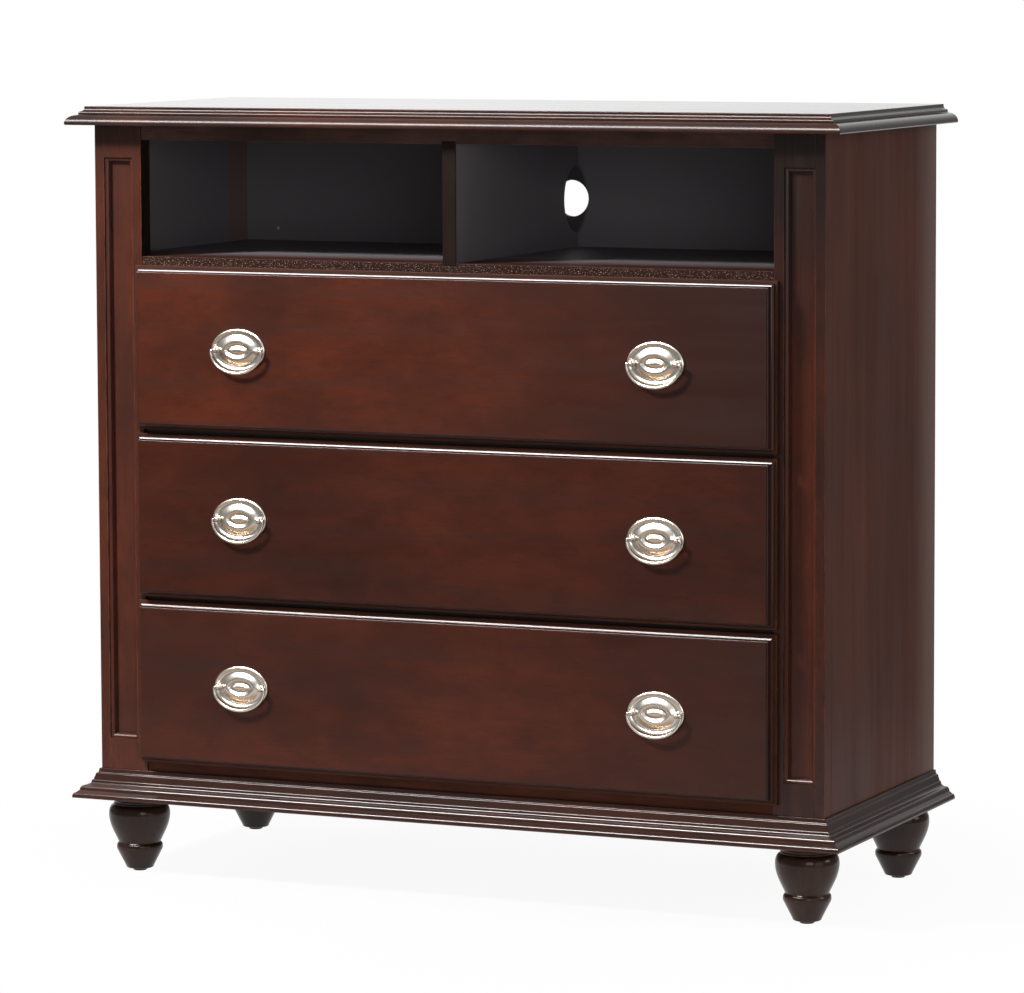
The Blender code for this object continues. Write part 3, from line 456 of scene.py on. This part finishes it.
# The posts' rub of 0.5 paints a highlight along their eased arrises.
post_wood = {
    "left": stained_wood("cherry_post_left", POST, POST_DEEP, 2, (1.7, 4.1, 2.3), rough=0.28,
                         shine=0.3, rub_and_sheen=0.5),
    # The right post's darker stain is painted shade.
    "right": stained_wood("cherry_post_right_shaded", CHERRY_DEEP, NIGHT, 2, (1.7, 4.1, 7.9),
                          rough=0.28, shine=0.3, rub_and_sheen=0.5)}
field_wood = {
    "left": stained_wood("cherry_field_left", POST, POST_DEEP, 2, (3.7, 6.1, 0.9), rough=0.28,
                         shine=0.3),
    # The right panel's darker stain is painted shade.
    "right": stained_wood("cherry_field_right_shaded", [0.62 * part for part in CHERRY], CHERRY_DEEP,
                          2, (3.7, 6.1, 0.6), rough=0.28, shine=0.3)}
# Painted shade: posts and panels darken towards their heads under the cornice, and each post's
# face that looks into the opening is darkest.
for word, side, dark in (("left", -1, 0.08), ("right", 1, 0.2)):
    overpaint(post_wood[word], NIGHT_DEEP, (2, HEAD_OF_CASE - dark, 0.12))
    overpaint(field_wood[word], NIGHT, (2, HEAD_OF_CASE - 1.4 * dark, 0.15))
    overpaint(post_wood[word], NIGHT_DEEP,
              (0, side * (post_low.x + 0.3 * MM), -side * 0.3 * MM))
back_ply = stained_wood("brown_ply_back", PLY, PLY_DEEP, 0, PLY_GRAIN, rough=0.55)
overpaint(back_ply, BAY, (1, back_front + 1.5 * MM, -1 * MM))
shelf_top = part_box("media_shelf")[1].z
cable_hole = (0, shelf_top + 67 * MM)
pale_dot_place = (-456 * MM, shelf_top + 17 * MM)
# A darker oval round the cable hole, and a small pale dot.
for paint, centre, wide, high in ((HOLE_OVAL_TONE, cable_hole, 23 * MM, 51 * MM),
                                  (PALE_DOT, pale_dot_place, 2 * MM, 2 * MM)):
    ring_paint(back_ply, paint, centre, wide, high, back_front + 2 * MM)
shelf_wood = stained_wood("dark_shelf", SHELF, NIGHT, 0, (6.6, 1.1, 3.0), rough=0.5, shine=0.05,
                          flecks=0.9)
overpaint(shelf_wood, SHELF, (1, FRONT + 1.4 * MM, 1 * MM))
overpaint(shelf_wood, BAY, (1, FRONT + 40 * MM, 110 * MM))
divider_wood = stained_wood("dark_divider", NIGHT_DEEP, NIGHT_DEEP, 2, (6.6, 1.1, 3.0), rough=0.4,
                            shine=0.1)
header_wood = stained_wood("dark_header", (0.115, 0.052, 0.040), NIGHT, 0, (2.6, 5.1, 8.0),
                           rough=0.4)
for wood in (divider_wood, header_wood):
    overpaint(wood, BAY, (1, FRONT + 2 * MM, 2 * MM))
print("finishes:", len(bpy.data.materials))

# %% [markdown]
# ## Top board and cornice
# The top board shows a small nose, a cove and a rounded lip. Under the lip runs a
# separate cornice, a thumbnail ovolo mitred at the two front corners. Two sticks with a
# dark line between them look unlike one carved edge, so they stay two.

# %% Draw both sections
def top_section():
    """Overhang and height of the top board's edge, from its underside to its face."""
    under, face = top_low.z, top_high.z
    lip = face - 11 * MM
    points = [(0, under), (0, lip), (16.0 * MM, lip), (16.0 * MM, lip + 0.6 * MM)]
    points += quarter((16.0 * MM, lip + 0.6 * MM), (14.2 * MM, lip + 4.0 * MM), 1)
    points += quarter((14.2 * MM, lip + 4.0 * MM), (9.9 * MM, lip + 8.8 * MM), 0)
    points += [(9.9 * MM, face - 1.2 * MM)]
    points += quarter((9.9 * MM, face - 1.2 * MM), (8.7 * MM, face), 1, 6)
    return np.array(points)


def cornice_section():
    """Closed section of the cornice, as overhang and height."""
    under = top_low.z
    head = under + 13.7 * MM
    points = [(GAP, under), (GAP, head), (17 * MM, head), (17 * MM, head - 0.4 * MM)]
    points += quarter((17 * MM, head - 0.4 * MM), (30.5 * MM, under + 1.7 * MM), 0, 16)
    points += [(30.5 * MM, under + 1.3 * MM), (29.2 * MM, under)]
    return np.array(points)


# %% Run a section along the front or down a side
def front_run(name, section):
    """The section set down at both mitres: each end slants out by the overhang."""
    out, up = section[:, 0], section[:, 1]
    ends = [np.stack([side * (HALF + out - MITRE), FRONT - out, up], axis=1)
            for side in (-1, 1)]
    return skin(name, np.array(ends), {"wear_and_sheen": wear_of(section)[None, :]})


def side_run(name, section, side):
    """The section from the front mitre straight back to the square rear end."""
    out, up = section[:, 0], section[:, 1]
    across = side * (HALF + out)
    front = np.stack([across, FRONT + MITRE - out, up], axis=1)
    back = np.stack([across, np.full(len(out), REAR), up], axis=1)
    return skin(name, np.array([front, back]), {"wear_and_sheen": wear_of(section)[None, :]})


section = top_section()
out, up = section[:, 0], section[:, 1]
reach = HALF + out
corners = [(-reach, FRONT - out), (reach, FRONT - out), (reach, np.full(len(out), REAR)),
           (-reach, np.full(len(out), REAR))]
rows = np.stack([np.stack([x, y, up], axis=1) for x, y in corners], axis=1)
board = skin("top_board", rows, {"wear_and_sheen": wear_of(section)[:, None]})
seat("top_board", board, top_wood, "case", "cherry_stain", "top_panel")
for finish in (lip_wood, lip_side_wood, return_wood):
    board.materials.append(finish)
# The quads go round the board: front, right, rear, left. The last two faces are the flats.
worked = np.array([1, 2, 3, 3])[np.arange(len(board.polygons)) % 4]
worked[-2:] = 0
board.polygons.foreach_set("material_index", worked)
section = cornice_section()
seat("cornice_stick_front", front_run("cornice_stick_front", section), lip_wood, "case",
     "cherry_stain", "cornice_front")
for side, word in SIDES:
    seat("cornice_stick_" + word, side_run("cornice_stick_" + word, section, side),
         return_wood if side < 0 else lip_side_wood, "case", "cherry_stain", "cornice_" + word)
print("cornice points:", len(section))

# %% [markdown]
# ## Base moulding
# The base steps out in a cove, two beads with a slope between them, an ogee and a rounded
# toe. Five bright lines run along it in the light, one on each member that faces up, so
# every member is drawn.

# %% Draw the members from the top down
# The form of each member, how far it steps out and how far it drops, in millimetres
BASE_MEMBERS = (("line", 2.4, 0.0), ("line", 0.4, 0.6), ("hollow", 2.0, 5.4),
                ("round", 1.7, 2.4), ("line", 2.2, 6.6), ("round", 2.0, 2.6),
                ("hollow", 7.3, 4.6), ("round", 4.8, 6.4), ("line", 0.8, 0.4),
                ("line", 3.2, 2.6), ("round", 3.7, 5.2))


def base_section():
    """Closed section of the base moulding: each member goes on from the last one's end."""
    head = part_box("base_moulding_front")[1].z
    here = (0.0, head)
    points = [(GAP, FLOOR_OF_CASE), (GAP, head)]
    for form, wide, drop in BASE_MEMBERS:
        there = (here[0] + wide * MM, here[1] - drop * MM)
        if form == "line":
            points.append(there)
        else:
            points += quarter(here, there, 0 if form == "round" else 1, 8)
        here = there
    points.append((here[0], FLOOR_OF_CASE))
    return np.array(points)


section = base_section()
seat("base_stick_front", front_run("base_stick_front", section), run_wood, "case",
     "cherry_stain", "base_moulding_front")
for side, word in SIDES:
    seat("base_stick_" + word, side_run("base_stick_" + word, section, side), return_wood,
         "case", "cherry_stain", "base_moulding_" + word)
print("base points:", len(section))

# %% [markdown]
# ## Corner posts
# Each post is a little frame: two stiles, a short rail at its head and foot, and a beaded
# panel let into the opening. The joints between stile and rail show as hairlines that run
# on above and below the panel, so the frame is built from its four sticks, with a fifth as
# the ground behind the panel.

# %% Sticks, and the beaded panel
def stick(x, y, z, ease=0.5 * MM):
    """A board between two limits each way, its long arrises taken off by ease in front."""
    rings = []
    for depth, inset in ((y[1], 0.0), (y[0] + ease, 0.0), (y[0] + 0.3 * ease, 0.3 * ease),
                         (y[0], ease), (y[0], 2 * ease)):
        x0, x1 = x[0] + inset, x[1] - inset
        rings.append([(x0, depth, z[0]), (x1, depth, z[0]), (x1, depth, z[1]), (x0, depth, z[1])])
    # The eased rings take paler stain: a painted highlight along the arrises.
    return skin("stick", np.array(rings), {"wear_and_sheen": np.array([[0], [1], [1], [1], [0]])})


def shrinking_frame(inset, depth, x, z):
    """Stacked rectangles: each inset goes in from all four sides at its own depth."""
    inset, depth = np.array(inset), np.array(depth)
    corners = [(x[0] + inset, z[0] + inset), (x[1] - inset, z[0] + inset),
               (x[1] - inset, z[1] - inset), (x[0] + inset, z[1] - inset)]
    return np.stack([np.stack([across, depth, high], axis=1) for across, high in corners], axis=1)


STILE = 14 * MM
HAIR = 0.15 * MM
panel_low, panel_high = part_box("pilaster_panel_right")
recess = (panel_low.z - GAP, panel_high.z + GAP)
for side, word in SIDES:
    low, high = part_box("pilaster_" + word)
    depth = (low.y, high.y)
    tall = (low.z, high.z)
    inner = (low.x + STILE + HAIR, high.x - STILE - HAIR)
    sticks = [stick((low.x, low.x + STILE), depth, tall),
              stick((high.x - STILE, high.x), depth, tall),
              stick(inner, depth, (low.z, recess[0])),
              stick(inner, depth, (recess[1], high.z)),
              stick(inner, (low.y + 13 * MM, high.y), recess)]
    frame_mesh = join_meshes("post_frame_" + word, sticks)
    seat("post_frame_" + word, frame_mesh, post_wood[word], "case", "cherry_stain",
         "pilaster_" + word)
    # The outer faces of the posts carry on the finish of the sides.
    frame_mesh.materials.append(left_wood if side < 0 else right_wood)
    middles = np.empty(3 * len(frame_mesh.polygons))
    frame_mesh.polygons.foreach_get("center", middles)
    outside = np.abs(middles[::3]) > HALF - 0.01 * MM
    frame_mesh.polygons.foreach_set("material_index", outside.astype(int))
    low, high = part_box("pilaster_panel_" + word)
    # How far in from the panel's edge, and how far behind the post's face
    bead = np.array([(0.0, 2.0)] + quarter((0, 2), (5.5, 7), 0, 12) + [(6.3, 7.0), (6.3, 9.5)])
    bead = np.concatenate([[(0.0, 12.7)], bead]) * MM
    rows = shrinking_frame(bead[:, 0], FRONT + bead[:, 1], (low.x, high.x), (low.z, high.z))
    seat("post_panel_" + word, skin("post_panel_" + word, rows), field_wood[word], "case",
         "cherry_stain", "pilaster_panel_" + word)
print("posts: 2 frames of 5 sticks")

# %% [markdown]
# ## Drawer fronts
# The three fronts lap over the case. Their edge is worked all round: a plain rim, where
# the stain is rubbed brown, a bowed chamfer, a step and a bead up to the flat face. Light
# from above makes a broad white line on the upper chamfer and a fine one on the bead.

# %% Work the edge and seat the fronts
# In millimetres: how far in from the end, and how far in front of the back face
BOW_RADIUS = 7.05
BOW_CENTRE = (9.37, 3.36)
edge = [(0.0, 0.0), (0.0, 4.4)] + quarter((0, 4.4), (0.6, 5), 1, 3) + [(3.6, 5.2)]
# All the points so far belong to the plain rim.
RIM_FACES = 4 * (len(edge) - 1)
facing = np.radians(np.linspace(55, 25, 9))
bow = np.stack([BOW_CENTRE[0] - BOW_RADIUS * np.sin(facing),
                BOW_CENTRE[1] + BOW_RADIUS * np.cos(facing)], axis=1)
edge += bow.tolist() + [(6.8, 10.0), (6.8, 12.4)]
edge += quarter((6.8, 12.4), (9.0, 18.0), 1) + [(9.6, 18.0), (9.6, 18.8), (9.8, 19.0)]
edge = np.array(edge) * MM
for name in ("bottom_drawer", "middle_drawer", "top_drawer"):
    low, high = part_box(name + "_front")
    rows = shrinking_frame(edge[:, 0], high.y - edge[:, 1], (low.x, high.x), (low.z, high.z))
    # The edge is worn where it runs inwards, since that is where it faces the room.
    wear_and_sheen = np.clip(np.abs(np.gradient(edge[:, 0])) * 900, 0, 1)[:, None]
    mesh = skin(name + "_face", rows, {"wear_and_sheen": wear_and_sheen})
    seat(name + "_face", mesh, front_wood[name], name, "cherry_stain", name + "_front")
    mesh.materials.append(edge_wood)
    mesh.materials.append(rim_wood)
    worked = np.zeros(len(mesh.polygons), int)
    worked[:RIM_FACES] = 2
    worked[RIM_FACES:-2] = 1
    mesh.polygons.foreach_set("material_index", worked)
print("edge points:", len(edge))

# %% [markdown]
# ## Turned feet
# Each foot is turned from one block: a collar, a cove, a thin bead, a full shoulder that
# falls in one long curve to a waist, a ring, and a tapered toe on a nail-on glide. The
# whole outline is one array of radius and height, and turning it is a cosine and a sine.

# %% Turn the feet
def foot_outline():
    """Radius and height from the tenon down. The body's radius follows a sine of the
    height, to a power a little over 1, so that it thins sooner below its shoulder."""
    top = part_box("foot_front_left")[1].z - 17 * MM
    mm = [(8, 17), (8, 0), (36.9, 0), (37.5, -0.6), (37.5, -5.9), (37.1, -6.5)]
    mm += quarter((37.1, -6.5), (34.0, -10.6), 0, 8)
    mm += quarter((34.0, -10.6), (35.3, -12.2), 0, 5) + quarter((35.3, -12.2), (34.3, -14.0), 1, 5)
    mm += [(34.4, -14.1)] + quarter((36.2, -14.3), (42.0, -27.0), 0, 14)
    share = np.linspace(0, 1, 25)[1:]
    body = np.stack([28.8 + 13.2 * np.sin(np.pi / 2 * (1 - share)) ** 1.12,
                     -27.0 - 39.2 * share], axis=1)
    mm += body.tolist()
    mm += quarter((29.2, -67.4), (31.7, -72.5), 0, 8) + [(31.7, -74.0), (31.0, -76.5)]
    mm += [(19.2, -99.6)] + quarter((19.2, -99.6), (15.8, -102.5), 1, 6) + [(9.8, -102.5)]
    outline = np.array(mm, float) * MM
    outline[:, 1] += top
    return outline


def turned(name, outline, centre):
    """Every outline point carried round its axis: radius by cosine, radius by sine."""
    angle = np.linspace(0, 2 * np.pi, 96, endpoint=False)
    radius, height = outline[:, 0][:, None], outline[:, 1][:, None]
    rows = np.stack([centre[0] + radius * np.cos(angle), centre[1] + radius * np.sin(angle),
                     height + 0 * angle], axis=-1)
    return skin(name, rows, sharp=40)


outline = foot_outline()
glide = np.array([(9.5, 3.6), (9.5, 0.5), (9.0, 0.0)]) * MM
for name in ("front_left", "front_right", "rear_left", "rear_right"):
    low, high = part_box("foot_" + name)
    centre = ((low.x + high.x) / 2, (low.y + high.y) / 2)
    parts = [turned("turned_foot", outline, centre), turned("glide", glide, centre)]
    seat("turned_foot_" + name, join_meshes("turned_foot_" + name, parts), foot_wood, "case",
         "foot_stain", "foot_" + name)
print("foot outline points:", len(outline))

# %% [markdown]
# ## Oval bail pulls
# The plate is pressed from one sheet: a raised rim, a channel, a dome that climbs to an
# eye-shaped crest, a sunk eye and a small boss. Seen as a shape, it is one set of ovals
# inside each other, each with its own width, height and level, so the whole plate is a
# grid of oval by angle. The inner ovals come to a slight point at both ends.

# %% Press the plate
PLATE_OVALS = np.array([  # half width, half height, level, how pointed
    (39.9, 28.7, 0.0, 1.0), (40.0, 28.8, 0.5, 1.0), (39.6, 28.4, 1.6, 1.0),
    (38.0, 26.8, 2.6, 1.0), (36.4, 25.4, 2.3, 1.0), (35.2, 24.4, 1.5, 1.0),
    (33.6, 23.4, 0.9, 1.02), (30.5, 21.8, 0.9, 1.05), (28.6, 20.4, 1.4, 1.08),
    (26.0, 17.6, 3.2, 1.12), (23.4, 14.8, 4.6, 1.16), (21.4, 12.8, 5.2, 1.2),
    (20.0, 11.4, 5.3, 1.22), (18.6, 10.2, 5.0, 1.24), (16.8, 8.4, 3.6, 1.25),
    (15.6, 7.2, 2.7, 1.22), (14.7, 6.4, 2.5, 1.15), (13.9, 5.5, 2.8, 1.1),
    (12.7, 3.8, 4.0, 1.05), (11.2, 2.1, 4.8, 1.0), (9.6, 0.8, 5.1, 1.0), (8.8, 0.1, 5.2, 1.0)])
RIM_ROWS = 9


def pressed_plate(name, centre):
    """Ovals by angle. Width goes by the cosine and height by the sine raised to the
    pointedness. Inside the rim, the named ovals are blended smoothly."""
    steps = np.linspace(0, len(PLATE_OVALS) - 1, 4 * (len(PLATE_OVALS) - 1) + 1)
    given = np.arange(len(PLATE_OVALS))
    ovals = np.stack([np.interp(steps, given, column) for column in PLATE_OVALS.T], axis=1)
    for _ in range(3):
        middle = (ovals[:-2] + 2 * ovals[1:-1] + ovals[2:]) / 4
        ovals[RIM_ROWS:-1] = middle[RIM_ROWS - 1:]
    angle = np.linspace(0, 2 * np.pi, 96, endpoint=False)
    wide, high, level, point = (ovals[:, i][:, None] for i in range(4))
    up = np.sign(np.sin(angle)) * np.abs(np.sin(angle)) ** point
    rows = np.stack([centre[0] + wide * MM * np.cos(angle), centre[1] - level * MM + 0 * angle,
                     centre[2] + high * MM * up], axis=-1)
    return paint_underside_shade(skin(name, rows, sharp=60), 0.12)


# %% [markdown]
# Two ball-headed posts are screwed on through the front, and the bail swings between
# them. The bail is a wire drawn thicker at its middle, so it is a circle carried along a
# half oval, with the circle's radius growing towards the grip.

# %% Turn a post, and bend the bail
# In millimetres: the hinge's distance in front of the plate, the ball's radius, and half
# the distance between the posts
HINGE = 8.0
BALL = 3.8
POST_HALF = 31.5


def turned_post(name, centre, side):
    """Radius and distance in front of the face, turned about an axis along Y."""
    polar = np.radians(np.linspace(3, 128, 16))
    ball = np.stack([BALL * np.sin(polar), HINGE + BALL * np.cos(polar)], axis=1)
    neck = np.array([(2.6, 4.9), (3.3, 4.0), (4.2, 3.4), (4.4, 2.8), (4.0, 2.2), (2.0, 2.0),
                     (2.0, -19.6), (4.3, -19.6), (4.5, -20.0), (4.2, -21.4), (0.4, -21.8)])
    outline = np.concatenate([ball, neck]) * MM
    angle = np.linspace(0, 2 * np.pi, 28, endpoint=False)
    radius, out = outline[:, 0][:, None], outline[:, 1][:, None]
    rows = np.stack([centre[0] + side * POST_HALF * MM + radius * np.cos(angle),
                     centre[1] - out + 0 * angle, centre[2] + radius * np.sin(angle)], axis=-1)
    return paint_underside_shade(skin(name, rows, sharp=50), 0.15)


def bent_bail(name, centre):
    """A circle along a path that lies in one plane: a pin, a tight elbow, half an oval of
    wire, and the same again mirrored. The circle stands square to the path."""
    spread_half = 37.6
    drop, spring = 30.6, 1.8
    turn = np.linspace(0, np.pi, 73)
    wire = np.stack([spread_half * np.cos(turn), -spring - (drop - spring) * np.sin(turn),
                     1.6 + 0.7 * np.sin(turn) ** 2], axis=1)
    elbow = np.array([(32.9, 0, 1.2), (36.0, 0, 1.2), (36.9, -0.2, 1.35), (37.4, -0.8, 1.5)])
    path = np.concatenate([elbow, wire, elbow[::-1] * (-1, 1, 1)])
    ahead = np.gradient(path[:, :2], axis=0)
    ahead /= np.linalg.norm(ahead, axis=1)[:, None]
    beside = np.stack([-ahead[:, 1], ahead[:, 0]], axis=1)
    angle = np.linspace(0, 2 * np.pi, 20, endpoint=False)
    radius = path[:, 2][:, None]
    x = path[:, 0][:, None] + radius * np.cos(angle) * beside[:, 0][:, None]
    z = path[:, 1][:, None] + radius * np.cos(angle) * beside[:, 1][:, None]
    y = -HINGE + radius * np.sin(angle)
    rows = np.stack([centre[0] + x * MM, centre[1] + y * MM, centre[2] + z * MM], axis=-1)
    return paint_underside_shade(skin(name, rows, sharp=50), -0.3)


# %% Seat the six pulls
for word in ("bottom", "middle", "top"):
    for side in ("left", "right"):
        low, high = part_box("pull_plate_{}_{}".format(word, side))
        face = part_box(word + "_drawer_front")[0].y
        centre = ((low.x + high.x) / 2, face - GAP, (low.z + high.z) / 2)
        parts = [pressed_plate("plate", centre)]
        parts += [turned_post("post", centre, end) for end in (-1, 1)]
        name = "pull_{}_{}".format(word, side)
        seat(name, join_meshes(name, parts), nickel, word + "_drawer", "satin_nickel",
             "pull_plate_{}_{}".format(word, side))
        name = "bail_{}_{}".format(word, side)
        seat(name + "_wire", bent_bail(name, centre), nickel, name, "satin_nickel",
             "pull_" + name)
print("pulls: 6")

# %% [markdown]
# ## Plain boards
# The flat boards are right as they came. Each keeps its node and gets a finish whose
# grain runs the way a joiner would cut it: up the sides, along the shelves and rails, and
# from front to back in the drawer boxes. A weld and a small bevel ease the arrises of all
# but the plywood.

# %% Give every board its finish
def dress(node, finish, ease=0.0):
    """Gives a CAD board its finish, and rounds its arrises by ease where that is given."""
    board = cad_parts[node]
    board.data.materials.clear()
    board.data.materials.append(finish)
    if ease:
        weld = board.modifiers.new("Joined_faces", "WELD")
        weld.merge_threshold = 0.01 * MM
        bevel = board.modifiers.new("Eased_edges", "BEVEL")
        bevel.width = ease
        bevel.segments = 2
        bevel.limit_method = "ANGLE"
        bevel.angle_limit = math.radians(50)


dress("side_panel_left", left_wood, 0.8 * MM)
dress("side_panel_right", right_wood, 0.8 * MM)
dress("sub_top_panel", header_wood, 0.6 * MM)
dress("bay_divider", divider_wood, 0.6 * MM)
dress("media_shelf", shelf_wood, 0.6 * MM)
for node in ("drawer_rail_upper", "drawer_rail_lower"):
    dress(node, rail_wood, 0.6 * MM)
dress("bottom_rail", low_wood, 0.6 * MM)
dress("back_panel", back_ply)
dress("bottom_panel", ply)
for word in ("bottom", "middle", "top"):
    for side in ("left", "right"):
        dress("runner_{}_{}".format(word, side), box_wood, 0.5 * MM)
        dress("{}_drawer_side_{}".format(word, side), box_wood, 0.5 * MM)
    dress(word + "_drawer_back", box_back_wood, 0.5 * MM)
    dress(word + "_drawer_bottom", ply)
print("boards dressed:", sum(bool(board.data.materials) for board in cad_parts.values()))

# %% [markdown]
# ## Studio
# Dark lacquered wood shows whatever stands round it. The room is white behind the chest
# and overhead, and much dimmer on the camera's side, so the flat fronts keep their colour
# while every edge that faces up picks up a bright line. The room's own diffuse light is
# set apart from what reflections see. A small round of pale floor keeps the shadow and
# fades into the white.
#
# The key lamp gives the shadows and is left out of reflections, where its small square
# would show in the nickel and the lacquer. The strip over the front and the card at the
# side do the opposite: they are only mirrored, and they draw the lines on the mouldings.

# %% Floor and room
def most_of(tree, *values):
    """The greatest of several sockets."""
    best = values[0]
    for value in values[1:]:
        best = add_node(tree, "Math", {0: best, 1: value}, operation="MAXIMUM").outputs[0]
    return best


def pale_floor():
    """Diffuse, with a share of plain white for the rays that see it, more further out."""
    material, tree, shader = new_finish("pale_floor")
    shader.inputs["Base Color"].default_value = (0.86, 0.86, 0.86, 1)
    shader.inputs["Roughness"].default_value = 0.9
    shader.inputs["Specular IOR Level"].default_value = 0.0
    path = add_node(tree, "LightPath").outputs
    seen = most_of(tree, path["Is Camera Ray"], path["Is Glossy Ray"],
                   path["Is Transmission Ray"])
    own = add_node(tree, "TexCoord").outputs["Object"]
    away = add_node(tree, "VectorMath", {0: own}, operation="LENGTH").outputs["Value"]
    white_share = spread(tree, away, 0.35, 0.95, 0.93, 1.0)
    share = add_node(tree, "Math", {0: seen, 1: white_share}, operation="MULTIPLY")
    white = add_node(tree, "Emission", {"Color": (1, 1, 1, 1), "Strength": 1.0})
    mixed = add_node(tree, "MixShader", {0: share.outputs[0], 1: shader.outputs[0],
                                         2: white.outputs[0]})
    tree.links.new(mixed.outputs[0], tree.nodes["Material Output"].inputs["Surface"])
    return material


FLOOR_RADIUS = 1.4
angle = np.linspace(0, 2 * np.pi, 64, endpoint=False)
rim = np.stack([FLOOR_RADIUS * np.cos(angle), FLOOR_RADIUS * np.sin(angle), 0 * angle], axis=1)
floor_mesh = bpy.data.meshes.new("studio_floor")
floor_mesh.from_pydata(rim.tolist(), [], [tuple(range(len(rim)))])
floor = bpy.data.objects.new("studio_floor", floor_mesh)
bpy.context.scene.collection.objects.link(floor)
floor_mesh.materials.append(pale_floor())

# Strength of the room's diffuse light, and of what is mirrored on the camera's side
AMBIENT = 0.18
CAMERA_SIDE = 0.26
world = bpy.data.worlds.new("white_room")
world.use_nodes = True
room = world.node_tree
path = add_node(room, "LightPath").outputs
toward = add_node(room, "TexCoord").outputs["Generated"]
across, deep, high = add_node(room, "SeparateXYZ", {0: toward}).outputs
behind = spread(room, deep, 0.45, 0.8)
# The white behind ends towards the right, and is a little dimmer from the left third on.
for not_right in (spread(room, across, 0.3, -0.1), spread(room, across, -0.33, -0.43, 0.82, 1)):
    behind = add_node(room, "Math", {0: behind, 1: not_right}, operation="MULTIPLY").outputs[0]
above = spread(room, high, 0.45, 0.8)
bright = spread(room, most_of(room, behind, above), 0.0, 1.0, CAMERA_SIDE, 1.0)
mirrored = most_of(room, path["Is Glossy Ray"], path["Is Transmission Ray"])
strength = add_node(room, "Mix", {0: mirrored, 2: AMBIENT, 3: bright}).outputs[0]
strength = add_node(room, "Mix", {0: path["Is Camera Ray"], 2: strength, 3: 1.0}).outputs[0]
backdrop = room.nodes["Background"]
backdrop.inputs["Color"].default_value = (1, 1, 1, 1)
room.links.new(strength, backdrop.inputs["Strength"])
bpy.context.scene.world = world


# %% Hang the lamps
def soft_lamp(name, place, target, wide, high, power):
    """A rectangular lamp at place that faces target."""
    data = bpy.data.lights.new(name, "AREA")
    data.shape = "RECTANGLE"
    data.size, data.size_y = wide, high
    data.energy = power
    lamp = bpy.data.objects.new(name, data)
    bpy.context.scene.collection.objects.link(lamp)
    aim = (Vector(target) - Vector(place)).to_track_quat("-Z", "Y").to_matrix().to_4x4()
    lamp.matrix_world = Matrix.Translation(place) @ aim
    return lamp


soft_lamp("key", (-1.45, -1.55, 2.38), (-0.1, -0.2, 0.6), 0.35, 0.3, 88).visible_glossy = False
soft_lamp("strip", (-0.9, -1.5, 2.45), (-0.9, -0.3, 0.9), 1.95, 0.6, 250).visible_diffuse = False
soft_lamp("side_card", (3.0, -1.4, 0.9), (0.4, -0.2, 0.6), 1.5, 1.7, 6.4).visible_diffuse = False
soft_lamp("fill", (2.0, -2.9, 1.1), (0, -0.1, 0.7), 1.4, 1.2, 14)
soft_lamp("right_side", (3.0, 0.4, 1.5), (0.5, 0, 0.5), 1.0, 1.6, 18)
bpy.context.scene.view_settings.view_transform = "Standard"
